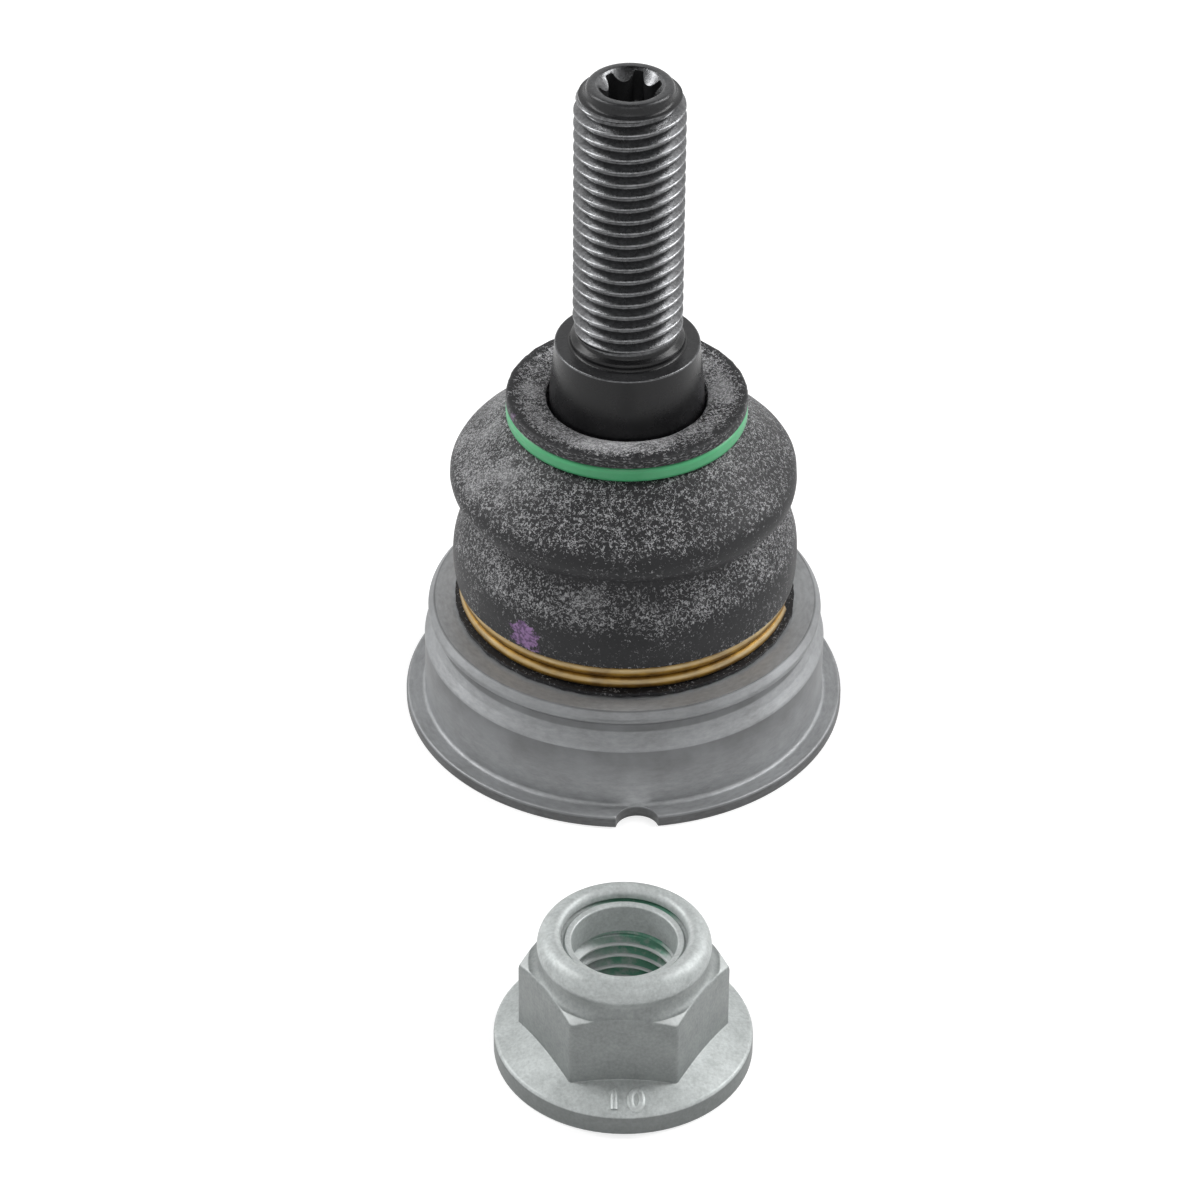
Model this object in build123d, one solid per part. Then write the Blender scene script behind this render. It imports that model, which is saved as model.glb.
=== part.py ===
"""Press-in suspension ball joint with its flange nut.

The joint stands on its flange with the stud up. The origin is on the axis, in the plane of
the flange's underside. Sizes are millimetres, +Z runs up the stud, and -Y is the front.
"""
import os
from math import acos, asin, atan2, cos, degrees, dist, radians, sin, sqrt, tan

from build123d import *

# Housing, outside
flange_radius = 24.8
flange_thickness = 1.35
press_radius = 22.6
press_root_height = 0.45
press_top_z = 8.95
bevel_top_z = 10.0
groove_radius = 21.3
groove_corner = 0.6
groove_top_z = 11.75
rim_radius = 22.15
rim_low_z = 12.4
rim_top_z = 12.95
housing_top_z = 13.7
top_face_radius = 21.5
edge_break = 0.2

# Locating notch in the flange
notch_radius = 2.4
notch_depth = 2.1
notch_angle = -86.5

# Housing, neck that carries the boot
neck_wall = 1.7
neck_bead = 0.5
neck_bead_z = 18.3
neck_taper = 1.1
neck_top_z = 22.8

# Ball and its two bearing races
ball_radius = 12.0
ball_floor_z = 4.0
ball_clearance = 0.04
race_wall = 2.3
race_fit = 0.02
race_gap = 0.4
race_mouth_angle = 65.0
grease_well_radius = 6.5
mouth_gap = 0.5
mouth_flare = 1.1

# Cover plate under the ball
cover_seat_width = 2.1
cover_fit = 0.05
cover_thickness = 1.4
cover_dish = 1.2
dish_slope_width = 1.0
rolled_lip_overlap = 0.9
rolled_lip_root_width = 1.2
rolled_lip_step = 0.4

# Rubber boot
boot_wall = 1.7
boot_gap = 0.05
boot_squeezed_wall = 1.06
boot_foot_width = 3.08
boot_foot_top_z = 14.3
lower_bulge_radius = 19.23
lower_bulge_z = 19.9
lower_bulge_arc = 12.0
valley_arc = 1.2
upper_bulge_radius = 19.29
upper_bulge_z = 31.0
upper_bulge_arc = 2.6
shoulder_radius = 12.9
shoulder_drop = 0.25
throat_z = 36.4
mouth_lip_width = 4.66
mouth_lip_z = 41.4
mouth_dish = 0.4
mouth_rounding = 0.5
mouth_bevel_width = 0.6
mouth_bevel_depth = 0.8

# Two-turn wire ring that clamps the foot of the boot
wire_diameter = 1.48
wire_pitch = 1.5
wire_low_z = 15.15
wire_start_angle = -14.0
wire_low_turn = 320.0
wire_crossover = 36.0
wire_high_turn = 290.0

# Moulded ring that clamps the mouth of the boot
mouth_ring_wall = 1.58
mouth_throat_wall = 3.04
mouth_ring_z = 38.4
mouth_ring_height = 1.8
mouth_ring_rounding = 0.5

# Stud above the ball
stud_neck_radius = 6.5
stud_neck_fillet = 1.0
collar_foot_z = 35.2
collar_flare = 1.8
collar_radius = 8.56
taper_start_z = 41.0
taper_top_z = 48.0
taper_top_radius = 7.94
taper_edge = 0.3
root_ring_radius = 6.24
root_ring_z = 48.75
undercut_radius = 5.59
undercut_z = 49.2
thread_radius = 6.0
thread_start_z = 50.2
thread_end_z = 77.8
tip_radius = 5.8
tip_start_z = 78.2
tip_shoulder_z = 78.5
tip_neck_radius = 5.3
tip_bow = 0.36
boss_radius = 4.75
boss_start_z = 79.75
stud_top_z = 80.2
boss_rounding = 0.25

# Six-lobe drive recess in the end of the stud
recess_lobe_radius = 3.33
recess_root_radius = 2.43
recess_scallop_radius = 1.35
recess_corner = 0.3
recess_depth = 4.0
recess_mouth_radius = 3.61
recess_mouth_depth = 1.2
recess_angle = 14.0
lobe_count = 6

# Flange nut, which stands beside the joint
nut_y = -60.7
nut_across_flats = 19.0
nut_corner_rounding = 0.5
nut_flange_radius = 13.5
nut_flange_edge = 2.5
nut_cone_top_radius = 9.5
nut_cone_top_z = 4.1
nut_hex_top_z = 12.0
nut_crown_angle = 30.0
nut_ledge_radius = 9.45
nut_waist_radius = 8.8
nut_waist_z = 12.7
nut_collar_radius = 9.0
nut_collar_z = 13.8
nut_top_z = 15.8
nut_crest_radius = 7.6
nut_lip_radius = 6.55
nut_lip_z = 15.3
nut_bore_radius = 5.19
nut_bore_chamfer = 0.9

# Locking ring held under the nut's rolled collar
lock_ring_radius = 7.2
lock_ring_bore = 5.45
lock_ring_low_z = 11.2
lock_ring_top_z = 14.7
lock_ring_fit = 0.03

# Values that follow from the ones above
groove_bottom_z = bevel_top_z + groove_corner
ball_centre_z = ball_floor_z + ball_radius
race_radius = ball_radius + race_wall
neck_radius = race_radius + neck_wall
neck_bead_radius = neck_radius + neck_bead
neck_top_radius = neck_radius - neck_taper
cover_radius = race_radius + cover_seat_width
rolled_lip_radius = cover_radius - rolled_lip_overlap
rolled_lip_root_radius = cover_radius + rolled_lip_root_width
dish_radius = rolled_lip_radius - rolled_lip_overlap - dish_slope_width
cover_rim_z = cover_dish + cover_thickness
race_top_z = ball_centre_z + (ball_radius + ball_clearance) * cos(radians(race_mouth_angle))
race_mouth_radius = (ball_radius + ball_clearance) * sin(radians(race_mouth_angle))
wire_radius = wire_diameter / 2
wire_high_z = wire_low_z + wire_pitch
boot_seat_radius = neck_radius + boot_gap
boot_foot_radius = boot_seat_radius + boot_foot_width
boot_groove_radius = boot_seat_radius + boot_squeezed_wall
boot_groove_top_z = wire_high_z + wire_radius + 2 * boot_gap
wire_ring_radius = boot_groove_radius + boot_gap + wire_radius
boot_bore = collar_radius + boot_gap
mouth_lip_radius = boot_bore + mouth_lip_width
mouth_groove_radius = boot_bore + mouth_throat_wall
mouth_ring_inner = mouth_groove_radius + boot_gap
mouth_ring_radius = mouth_ring_inner + mouth_ring_wall
mouth_groove_top_z = mouth_ring_z + mouth_ring_height + boot_gap
tip_neck_z = boss_start_z - (tip_neck_radius - boss_radius)


def disc_of_revolution(outline):
    """Turns a closed half-profile, drawn as radius and height, about the vertical axis."""
    return revolve(Plane.XZ * make_face(outline), Axis.Z)


def half_profile(*steps):
    """Joins points and three-point arcs into one closed outline.

    A step is a point, or a pair of points: the middle and the end of an arc that starts
    at the point before it.
    """
    edges = []
    here = steps[0]
    for step in steps[1:]:
        if isinstance(step[0], tuple):
            middle, end = step
            edges.append(ThreePointArc(here, middle, end))
        else:
            end = step
            edges.append(Line(here, end))
        here = end
    edges.append(Line(here, steps[0]))
    return edges


def on_arc(centre, radius, angle):
    """A point on a circle in the half-profile, by its angle in degrees above the horizontal."""
    return (
        centre[0] + radius * cos(radians(angle)),
        centre[1] + radius * sin(radians(angle)),
    )


def arc_step(centre, radius, start_angle, end_angle):
    """The middle and end point of an arc, as half_profile takes them."""
    middle_angle = (start_angle + end_angle) / 2
    return on_arc(centre, radius, middle_angle), on_arc(centre, radius, end_angle)


def angle_to(start, end):
    return degrees(atan2(end[1] - start[1], end[0] - start[0]))


def meeting_point(low, low_reach, high, high_reach):
    """The outer point that lies the given distances from two points of the half-profile."""
    gap = dist(low, high)
    along = (low_reach**2 - high_reach**2 + gap**2) / (2 * gap)
    across = sqrt(low_reach**2 - along**2)
    step = ((high[0] - low[0]) / gap, (high[1] - low[1]) / gap)
    return (
        low[0] + along * step[0] + across * step[1],
        low[1] + along * step[1] - across * step[0],
    )


def make_housing():
    press_low_z = flange_thickness + press_root_height
    mouth_radius = race_mouth_radius + mouth_gap
    seat_radius = cover_radius + cover_fit
    bevel_top_radius = groove_radius + groove_corner
    outline = half_profile(
        (rolled_lip_root_radius, 0),
        (flange_radius - edge_break, 0),
        (flange_radius, edge_break),
        (flange_radius, flange_thickness - edge_break),
        (flange_radius - edge_break, flange_thickness),
        (press_radius + press_root_height, flange_thickness),
        arc_step(
            (press_radius + press_root_height, press_low_z), press_root_height, 270, 180
        ),
        (press_radius, press_top_z),
        (bevel_top_radius, bevel_top_z),
        arc_step((bevel_top_radius, groove_bottom_z), groove_corner, 270, 180),
        (groove_radius, groove_top_z),
        (rim_radius - edge_break, rim_low_z),
        (rim_radius, rim_low_z + edge_break),
        (rim_radius, rim_top_z),
        (top_face_radius, housing_top_z),
        (neck_radius, housing_top_z),
        (neck_radius, neck_bead_z - (neck_bead_radius - neck_radius)),
        (neck_bead_radius, neck_bead_z),
        (neck_top_radius, neck_top_z),
        (mouth_radius + mouth_flare, neck_top_z),
        (mouth_radius, race_top_z),
        (race_radius, race_top_z),
        (race_radius, cover_rim_z),
        (seat_radius, cover_rim_z),
        (seat_radius, cover_dish),
        (rolled_lip_radius, cover_dish),
        (rolled_lip_radius, rolled_lip_step + edge_break),
        (rolled_lip_radius + edge_break, rolled_lip_step),
    )
    notch_centre = flange_radius - notch_depth + notch_radius
    notch = extrude(
        Location((0, 0, 0), (0, 0, notch_angle))
        * Location((notch_centre, 0, 0))
        * Circle(notch_radius),
        press_low_z,
    )
    return disc_of_revolution(outline) - notch


def make_upper_race():
    low_z = ball_centre_z + race_gap / 2
    seat = ball_radius + ball_clearance
    ring = Pos(0, 0, low_z) * Cylinder(
        race_radius - race_fit,
        race_top_z - low_z,
        align=(Align.CENTER, Align.CENTER, Align.MIN),
    )
    return ring - Pos(0, 0, ball_centre_z) * Sphere(seat)


def make_lower_race():
    high_z = ball_centre_z - race_gap / 2
    seat = ball_radius + ball_clearance
    ring = Pos(0, 0, cover_rim_z) * Cylinder(
        race_radius - race_fit,
        high_z - cover_rim_z,
        align=(Align.CENTER, Align.CENTER, Align.MIN),
    )
    well = Pos(0, 0, cover_rim_z) * Cylinder(
        grease_well_radius, high_z, align=(Align.CENTER, Align.CENTER, Align.MIN)
    )
    return ring - Pos(0, 0, ball_centre_z) * Sphere(seat) - well


def make_cover_plate():
    """A pressed steel disc: its rim sits up under the housing's rolled lip, its middle is flush."""
    slope_end = dish_radius + dish_slope_width
    inner_shift = cover_thickness / 2
    outline = half_profile(
        (0, 0),
        (dish_radius, 0),
        (slope_end, cover_dish),
        (cover_radius, cover_dish),
        (cover_radius, cover_rim_z),
        (slope_end - inner_shift, cover_rim_z),
        (dish_radius - inner_shift, cover_thickness),
        (0, cover_thickness),
    )
    return disc_of_revolution(outline)


def ring_point(angle, height):
    """A point on the centre line of the wire ring."""
    return (
        wire_ring_radius * cos(radians(angle)),
        wire_ring_radius * sin(radians(angle)),
        height,
    )


def make_wire_ring():
    """Two flat turns of round wire, joined by a short rise, wound clockwise seen from above."""
    section = Plane.XZ * Pos(wire_ring_radius, 0) * Circle(wire_radius)
    low_end = wire_start_angle - wire_low_turn
    high_start = low_end - wire_crossover
    low_turn = revolve(section, Axis.Z, revolution_arc=wire_low_turn)
    high_turn = revolve(section, Axis.Z, revolution_arc=wire_high_turn)
    path = Spline(
        ring_point(low_end, wire_low_z),
        ring_point((low_end + high_start) / 2, (wire_low_z + wire_high_z) / 2),
        ring_point(high_start, wire_high_z),
        tangents=[
            (sin(radians(low_end)), -cos(radians(low_end)), 0),
            (sin(radians(high_start)), -cos(radians(high_start)), 0),
        ],
    )
    rise = sweep(Plane(path @ 0, z_dir=path % 0) * Circle(wire_radius), path=path)
    low_turn = Location((0, 0, wire_low_z), (0, 0, low_end)) * low_turn
    high_turn = Location((0, 0, wire_high_z), (0, 0, high_start - wire_high_turn)) * high_turn
    return low_turn + rise + high_turn


def make_boot():
    """The rubber boot: a thin wall with two bulges, a foot on the housing and a tight mouth.

    The wall is two lines of arcs and a cone with the same centres, one wall apart.
    """
    low_centre = (lower_bulge_radius - lower_bulge_arc, lower_bulge_z)
    high_centre = (upper_bulge_radius - upper_bulge_arc, upper_bulge_z)
    fold = meeting_point(
        low_centre, lower_bulge_arc + valley_arc, high_centre, upper_bulge_arc + valley_arc
    )
    fold_low = angle_to(low_centre, fold)
    fold_high = angle_to(high_centre, fold)
    shoulder = (shoulder_radius, mouth_ring_z - shoulder_drop)
    cone_angle = angle_to(high_centre, shoulder) - degrees(
        acos(upper_bulge_arc / dist(high_centre, shoulder))
    )
    foot_z = housing_top_z + boot_gap
    low_start = -degrees(asin((lower_bulge_z - boot_groove_top_z) / lower_bulge_arc))
    inner_low_arc = lower_bulge_arc - boot_wall
    inner_start = -degrees(asin((lower_bulge_z - neck_bead_z - boot_gap) / inner_low_arc))
    inner_high_arc = upper_bulge_arc - boot_wall
    inner_shoulder = on_arc(shoulder, -boot_wall, cone_angle)
    outline = half_profile(
        (boot_seat_radius, foot_z),
        (boot_foot_radius - edge_break, foot_z),
        (boot_foot_radius, foot_z + edge_break),
        (boot_foot_radius, boot_foot_top_z),
        (boot_groove_radius, boot_foot_top_z),
        (boot_groove_radius, boot_groove_top_z),
        on_arc(low_centre, lower_bulge_arc, low_start),
        arc_step(low_centre, lower_bulge_arc, low_start, fold_low),
        arc_step(fold, valley_arc, fold_low + 180, fold_high + 180),
        arc_step(high_centre, upper_bulge_arc, fold_high, cone_angle),
        shoulder,
        (mouth_groove_radius, mouth_ring_z - boot_gap),
        (mouth_groove_radius, mouth_groove_top_z),
        (mouth_lip_radius, mouth_groove_top_z),
        (mouth_lip_radius, mouth_lip_z - mouth_rounding),
        arc_step(
            (mouth_lip_radius - mouth_rounding, mouth_lip_z - mouth_rounding),
            mouth_rounding,
            0,
            90,
        ),
        (boot_bore + mouth_bevel_width, mouth_lip_z - mouth_dish),
        (boot_bore, mouth_lip_z - mouth_dish - mouth_bevel_depth),
        (boot_bore, throat_z),
        inner_shoulder,
        on_arc(high_centre, inner_high_arc, cone_angle),
        arc_step(high_centre, inner_high_arc, cone_angle, fold_high),
        arc_step(fold, valley_arc + boot_wall, fold_high + 180, fold_low + 180),
        arc_step(low_centre, inner_low_arc, fold_low, inner_start),
        (boot_seat_radius, neck_bead_z - (neck_bead_radius - neck_radius) - boot_gap),
    )
    return disc_of_revolution(outline)


def make_mouth_ring():
    low_z = mouth_ring_z
    high_z = mouth_ring_z + mouth_ring_height
    soft = mouth_ring_rounding
    turn = soft * (1 - sqrt(0.5))
    outline = half_profile(
        (mouth_ring_inner, low_z),
        (mouth_ring_radius - soft, low_z),
        ((mouth_ring_radius - turn, low_z + turn), (mouth_ring_radius, low_z + soft)),
        (mouth_ring_radius, high_z - soft),
        ((mouth_ring_radius - turn, high_z - turn), (mouth_ring_radius - soft, high_z)),
        (mouth_ring_inner, high_z),
    )
    return disc_of_revolution(outline)


def star_outline():
    """The six-lobe outline: a circle with a scallop between each pair of lobes."""
    star = Circle(recess_lobe_radius)
    scallop_centre = recess_root_radius + recess_scallop_radius
    for index in range(lobe_count):
        angle = (index + 0.5) * 360 / lobe_count
        place = Location((0, 0, 0), (0, 0, angle)) * Location((scallop_centre, 0, 0))
        star -= place * Circle(recess_scallop_radius)
    return fillet(star.vertices(), recess_corner)


def make_ball_stud():
    """One forging: ball, neck, sealing collar, taper, threaded shank and its end."""
    fillet_reach = ball_radius + stud_neck_fillet
    fillet_radius = stud_neck_radius + stud_neck_fillet
    fillet_rise = sqrt(fillet_reach**2 - fillet_radius**2)
    touch = ball_radius / fillet_reach
    touch_point = (fillet_radius * touch, ball_centre_z + fillet_rise * touch)
    fillet_end = (stud_neck_radius, ball_centre_z + fillet_rise)
    touch_angle = degrees(asin(fillet_rise / fillet_reach))
    fillet_centre = (fillet_radius, ball_centre_z + fillet_rise)
    fillet_middle = on_arc(fillet_centre, stud_neck_fillet, (180 + 180 + touch_angle) / 2)
    flare_centre = (stud_neck_radius + collar_flare, collar_foot_z - collar_flare)
    outline = half_profile(
        (0, ball_centre_z - ball_radius),
        ((ball_radius, ball_centre_z), touch_point),
        (fillet_middle, fillet_end),
        (stud_neck_radius, collar_foot_z - collar_flare),
        arc_step(flare_centre, collar_flare, 180, 90),
        (collar_radius - edge_break, collar_foot_z),
        (collar_radius, collar_foot_z + edge_break),
        (collar_radius, taper_start_z),
        (taper_top_radius, taper_top_z),
        (taper_top_radius - taper_edge, taper_top_z + taper_edge),
        (root_ring_radius, taper_top_z + taper_edge),
        (root_ring_radius, root_ring_z),
        (undercut_radius, undercut_z),
        (undercut_radius, thread_start_z - (thread_radius - undercut_radius)),
        (thread_radius, thread_start_z),
        (thread_radius, thread_end_z),
        (tip_radius, tip_start_z),
        (tip_radius, tip_shoulder_z),
        (
            (tip_neck_radius + tip_bow, (tip_shoulder_z + tip_neck_z) / 2),
            (tip_neck_radius, tip_neck_z),
        ),
        arc_step((tip_neck_radius, boss_start_z), tip_neck_radius - boss_radius, 270, 180),
        (boss_radius, stud_top_z - boss_rounding),
        arc_step(
            (boss_radius - boss_rounding, stud_top_z - boss_rounding), boss_rounding, 0, 90
        ),
        (0, stud_top_z),
    )
    recess_floor_z = stud_top_z - recess_depth
    star = Location((0, 0, recess_floor_z), (0, 0, recess_angle)) * star_outline()
    recess = extrude(star, recess_depth)
    mouth = Pos(0, 0, stud_top_z) * Cone(
        recess_mouth_radius - recess_mouth_depth,
        recess_mouth_radius,
        recess_mouth_depth,
        align=(Align.CENTER, Align.CENTER, Align.MAX),
    )
    return disc_of_revolution(outline) - recess - mouth


def make_flange_nut():
    corner_radius = nut_across_flats / 2 / cos(radians(30))
    crown_drop = (corner_radius - nut_across_flats / 2) * tan(radians(nut_crown_angle))
    flats = RegularPolygon(nut_across_flats / 2, 6, major_radius=False)
    hexagon = extrude(fillet(flats.vertices(), nut_corner_rounding), nut_hex_top_z)
    crown = disc_of_revolution(
        half_profile(
            (0, 0),
            (corner_radius, 0),
            (corner_radius, nut_hex_top_z - crown_drop),
            (nut_across_flats / 2, nut_hex_top_z),
            (0, nut_hex_top_z),
        )
    )
    flange = disc_of_revolution(
        half_profile(
            (0, 0),
            (nut_flange_radius - edge_break, 0),
            (nut_flange_radius, edge_break),
            (nut_flange_radius, nut_flange_edge - edge_break),
            (nut_flange_radius - edge_break, nut_flange_edge),
            (nut_cone_top_radius, nut_cone_top_z),
            (0, nut_cone_top_z),
        )
    )
    collar_swell = (nut_collar_radius + nut_crest_radius) / 2
    collar = disc_of_revolution(
        half_profile(
            (0, nut_hex_top_z),
            (nut_ledge_radius, nut_hex_top_z),
            (nut_waist_radius, nut_waist_z),
            (
                (nut_collar_radius, nut_collar_z),
                (collar_swell, nut_top_z - (nut_collar_radius - collar_swell) / 2),
            ),
            ((nut_crest_radius, nut_top_z), (nut_lip_radius, nut_lip_z)),
            (0, nut_lip_z),
        )
    )
    pocket_radius = lock_ring_radius + lock_ring_fit
    bore = disc_of_revolution(
        half_profile(
            (0, 0),
            (nut_bore_radius + nut_bore_chamfer, 0),
            (nut_bore_radius, nut_bore_chamfer),
            (nut_bore_radius, lock_ring_low_z),
            (pocket_radius, lock_ring_low_z),
            (pocket_radius, lock_ring_top_z),
            (nut_lip_radius, lock_ring_top_z),
            (nut_lip_radius, nut_top_z),
            (0, nut_top_z),
        )
    )
    return Pos(0, nut_y, 0) * (flange + (hexagon & crown) + collar - bore)


def make_locking_ring():
    height = lock_ring_top_z - lock_ring_low_z
    base = (Align.CENTER, Align.CENTER, Align.MIN)
    ring = Cylinder(lock_ring_radius, height, align=base) - Cylinder(
        lock_ring_bore, height, align=base
    )
    return Pos(0, nut_y, lock_ring_low_z) * ring


nodes = {
    "housing": make_housing(),
    "upper_bearing_race": make_upper_race(),
    "lower_bearing_race": make_lower_race(),
    "cover_plate": make_cover_plate(),
    "lower_clamp_ring": make_wire_ring(),
    "boot": make_boot(),
    "upper_clamp_ring": make_mouth_ring(),
    "ball_stud": make_ball_stud(),
    "flange_nut": make_flange_nut(),
    "nut_locking_ring": make_locking_ring(),
}

os.makedirs("parts", exist_ok=True)
for name, shape in nodes.items():
    export_step(shape, f"parts/{name}.step")
    box = shape.bounding_box()
    print(f"{name}: {len(shape.solids())} solid, z {box.min.Z:.2f} to {box.max.Z:.2f}")
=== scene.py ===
# %% [markdown]
# # A suspension ball joint and its nut
#
# The joint stands on its flange with the stud up, and its lock nut lies loose in front. Nearly
# every surface on it was turned, rolled or moulded round one axis, so the whole lesson rests on
# one idea: a **skin** of points laid out in rows round an axis. A plain lathe, a screw thread, a
# hexagon and a star-shaped recess are all rows of that kind, and only their formulas differ.
#
# Three ways were open. Boolean cuts are quick to write, but they leave ragged triangles that catch
# the light. Modifiers such as Screw and Bevel are tidy, but can't run a thread out into a groove.
# Rows of points give clean quads and let every edge carry its real small rounding.

# %% The frame: sizes and places that the looks must keep
from math import acos, asin, atan2, ceil, cos, dist, hypot, pi, radians, sin, sqrt, tan

import bmesh
import bpy
import numpy as np
from mathutils import Matrix, Vector, noise


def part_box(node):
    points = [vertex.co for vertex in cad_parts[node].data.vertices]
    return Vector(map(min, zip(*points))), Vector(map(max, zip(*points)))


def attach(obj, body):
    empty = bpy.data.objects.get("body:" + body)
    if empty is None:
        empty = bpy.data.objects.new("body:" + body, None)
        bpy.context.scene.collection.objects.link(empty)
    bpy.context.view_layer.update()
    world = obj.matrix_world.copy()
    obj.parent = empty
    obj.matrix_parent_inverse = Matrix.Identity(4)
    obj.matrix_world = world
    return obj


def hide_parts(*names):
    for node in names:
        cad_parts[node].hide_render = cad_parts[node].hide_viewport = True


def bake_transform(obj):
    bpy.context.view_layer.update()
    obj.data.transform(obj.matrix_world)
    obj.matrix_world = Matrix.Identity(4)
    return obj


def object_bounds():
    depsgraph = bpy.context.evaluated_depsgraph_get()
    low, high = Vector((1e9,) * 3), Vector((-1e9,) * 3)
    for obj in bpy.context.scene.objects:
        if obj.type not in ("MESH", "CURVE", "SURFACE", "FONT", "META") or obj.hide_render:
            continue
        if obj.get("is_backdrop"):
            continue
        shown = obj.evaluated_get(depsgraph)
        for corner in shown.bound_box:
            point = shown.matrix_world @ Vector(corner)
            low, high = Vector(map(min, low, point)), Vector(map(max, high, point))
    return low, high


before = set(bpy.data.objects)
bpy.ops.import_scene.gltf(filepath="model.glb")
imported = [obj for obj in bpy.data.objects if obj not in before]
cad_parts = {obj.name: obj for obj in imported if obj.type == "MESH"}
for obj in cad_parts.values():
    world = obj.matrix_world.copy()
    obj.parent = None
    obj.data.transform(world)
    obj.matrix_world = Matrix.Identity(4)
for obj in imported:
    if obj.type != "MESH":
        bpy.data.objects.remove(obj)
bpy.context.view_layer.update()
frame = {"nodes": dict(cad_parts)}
MM = 0.001
print("nodes:", ", ".join(frame["nodes"]))


# %% Reading a turned piece's size from the frame
def turned_size(node):
    """Largest radius, lowest and highest point of a piece that stands on the main axis, in mm."""
    low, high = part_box(node)
    return (high.x - low.x) / 2 / MM, low.z / MM, high.z / MM


flange_radius, _, neck_top_z = turned_size("housing")
ball_radius, ball_low_z, stud_top_z = turned_size("ball_stud")
upper_bulge_radius, boot_foot_z, mouth_lip_z = turned_size("boot")
mouth_ring_radius, mouth_ring_low_z, mouth_ring_high_z = turned_size("upper_clamp_ring")
print(f"flange {2 * flange_radius:.1f} mm across, stud top at {stud_top_z:.1f} mm")

# %% [markdown]
# ## Outlines with rounded corners
#
# No real edge is perfectly sharp, and the thin bright line along an edge is what tells the eye
# that a part was turned from metal. So an outline is a short list of corners, each with the
# radius that a tool or a mould leaves there, and one function rounds them all.
#
# Smooth shading bends the light across a whole flat band when the band's neighbours turn. Two
# **holding points**, close to the ends of each straight run, keep that bend inside the rounding.

# %% Rounding the corners of an outline
ARC_STEP = radians(15)
HOLD = 0.04
WORN_RADIUS = 0.35
SAME = 1e-4


def on_circle(centre, radius, angle):
    return centre[0] + radius * cos(angle), centre[1] + radius * sin(angle)


def arc(centre, radius, start, end, step=ARC_STEP):
    """Points on a circle from one angle to another, in radians."""
    count = max(2, ceil(abs(end - start) / step))
    return [on_circle(centre, radius, angle) for angle in np.linspace(start, end, count + 1)]


def rounded_corner(before, here, after, radius, room):
    """The arc that replaces one corner, and whether it turns left."""
    to_before = (Vector(before) - Vector(here)).normalized()
    to_after = (Vector(after) - Vector(here)).normalized()
    half = to_before.angle(to_after) / 2
    reach = min(radius / tan(half), room)
    radius = reach * tan(half)
    centre = Vector(here) + (to_before + to_after).normalized() * radius / sin(half)
    start = Vector(here) + to_before * reach - centre
    end = Vector(here) + to_after * reach - centre
    start_angle = atan2(start.y, start.x)
    turn = (atan2(end.y, end.x) - start_angle + pi) % (2 * pi) - pi
    return arc(centre, radius, start_angle, start_angle + turn), turn > 0


def soften(corners):
    """Rounds a closed outline of (radius, height, rounding) corners that runs anticlockwise.

    Returns rows of (radius, height, wear). Wear is 1 on the small outward roundings, which
    handling rubs bright, and 0 elsewhere.
    """
    rows = []
    for index, (x, z, rounding) in enumerate(corners):
        before = corners[index - 1]
        after = corners[(index + 1) % len(corners)]
        if rounding == 0:
            rows.append((x, z, 0.0))
            continue
        room = min(
            dist(near[:2], (x, z)) * (0.96 if near[2] == 0 else 0.48) for near in (before, after)
        )
        points, outward = rounded_corner(before[:2], (x, z), after[:2], rounding, room)
        wear_and_painted_light = 1.0 if outward and rounding < WORN_RADIUS else 0.0
        rows.extend((px, pz, wear_and_painted_light) for px, pz in points)
    rows.append(rows[0])
    return hold(rows)


def hold(rows):
    """Adds a holding point near each end of every long straight run."""
    held = [rows[0]]
    for (x0, z0, _), (x1, z1, wear_and_painted_light) in zip(rows, rows[1:]):
        length = dist((x0, z0), (x1, z1))
        if length > 4 * HOLD:
            for share in (HOLD / length, 1 - HOLD / length):
                held.append((x0 + (x1 - x0) * share, z0 + (z1 - z0) * share, 0.0))
        held.append((x1, z1, wear_and_painted_light))
    return held


sample = soften([(0, 0, 0), (10, 0, 1), (10, 5, 1), (0, 5, 0)])
print("a rounded block's half outline has", len(sample), "points")

# %% [markdown]
# ## From rows to a skin
#
# A row is one walk round the axis. Its radius and height are single numbers on a lathe, or one
# number per column where the shape changes round the axis. Points that land on the same place
# become one vertex, which closes the seam, the poles and the ends of a thread without special
# cases.

# %% Joining rows into a mesh
MERGE = 2e-7
SHARP = radians(38)


def even_turn(columns):
    return np.linspace(0, 2 * pi, columns + 1)


def grid_object(name, points, wear_and_painted_light):
    """Makes an object from a grid of points in mm, with rubbing and painted light at each."""
    count_rows, count_columns = points.shape[:2]
    first = np.arange(count_rows - 1)[:, None] * count_columns + np.arange(count_columns - 1)
    first = first.ravel()
    quads = np.stack([first, first + 1, first + count_columns + 1, first + count_columns], 1)
    mesh = bpy.data.meshes.new(name)
    mesh.from_pydata((points.reshape(-1, 3) * MM).tolist(), [], quads.tolist())
    mesh.attributes.new("wear_and_painted_light", "FLOAT", "POINT").data.foreach_set(
        "value", np.ascontiguousarray(wear_and_painted_light, dtype=np.float32).ravel()
    )
    shell = bmesh.new()
    shell.from_mesh(mesh)
    bmesh.ops.remove_doubles(shell, verts=shell.verts, dist=MERGE)
    shell.to_mesh(mesh)
    shell.free()
    mesh.shade_smooth()
    mesh.set_sharp_from_angle(angle=SHARP)
    made = bpy.data.objects.new(name, mesh)
    bpy.context.scene.collection.objects.link(made)
    print(f"{name}: {len(mesh.vertices)} points, {len(mesh.polygons)} faces")
    return made


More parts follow.
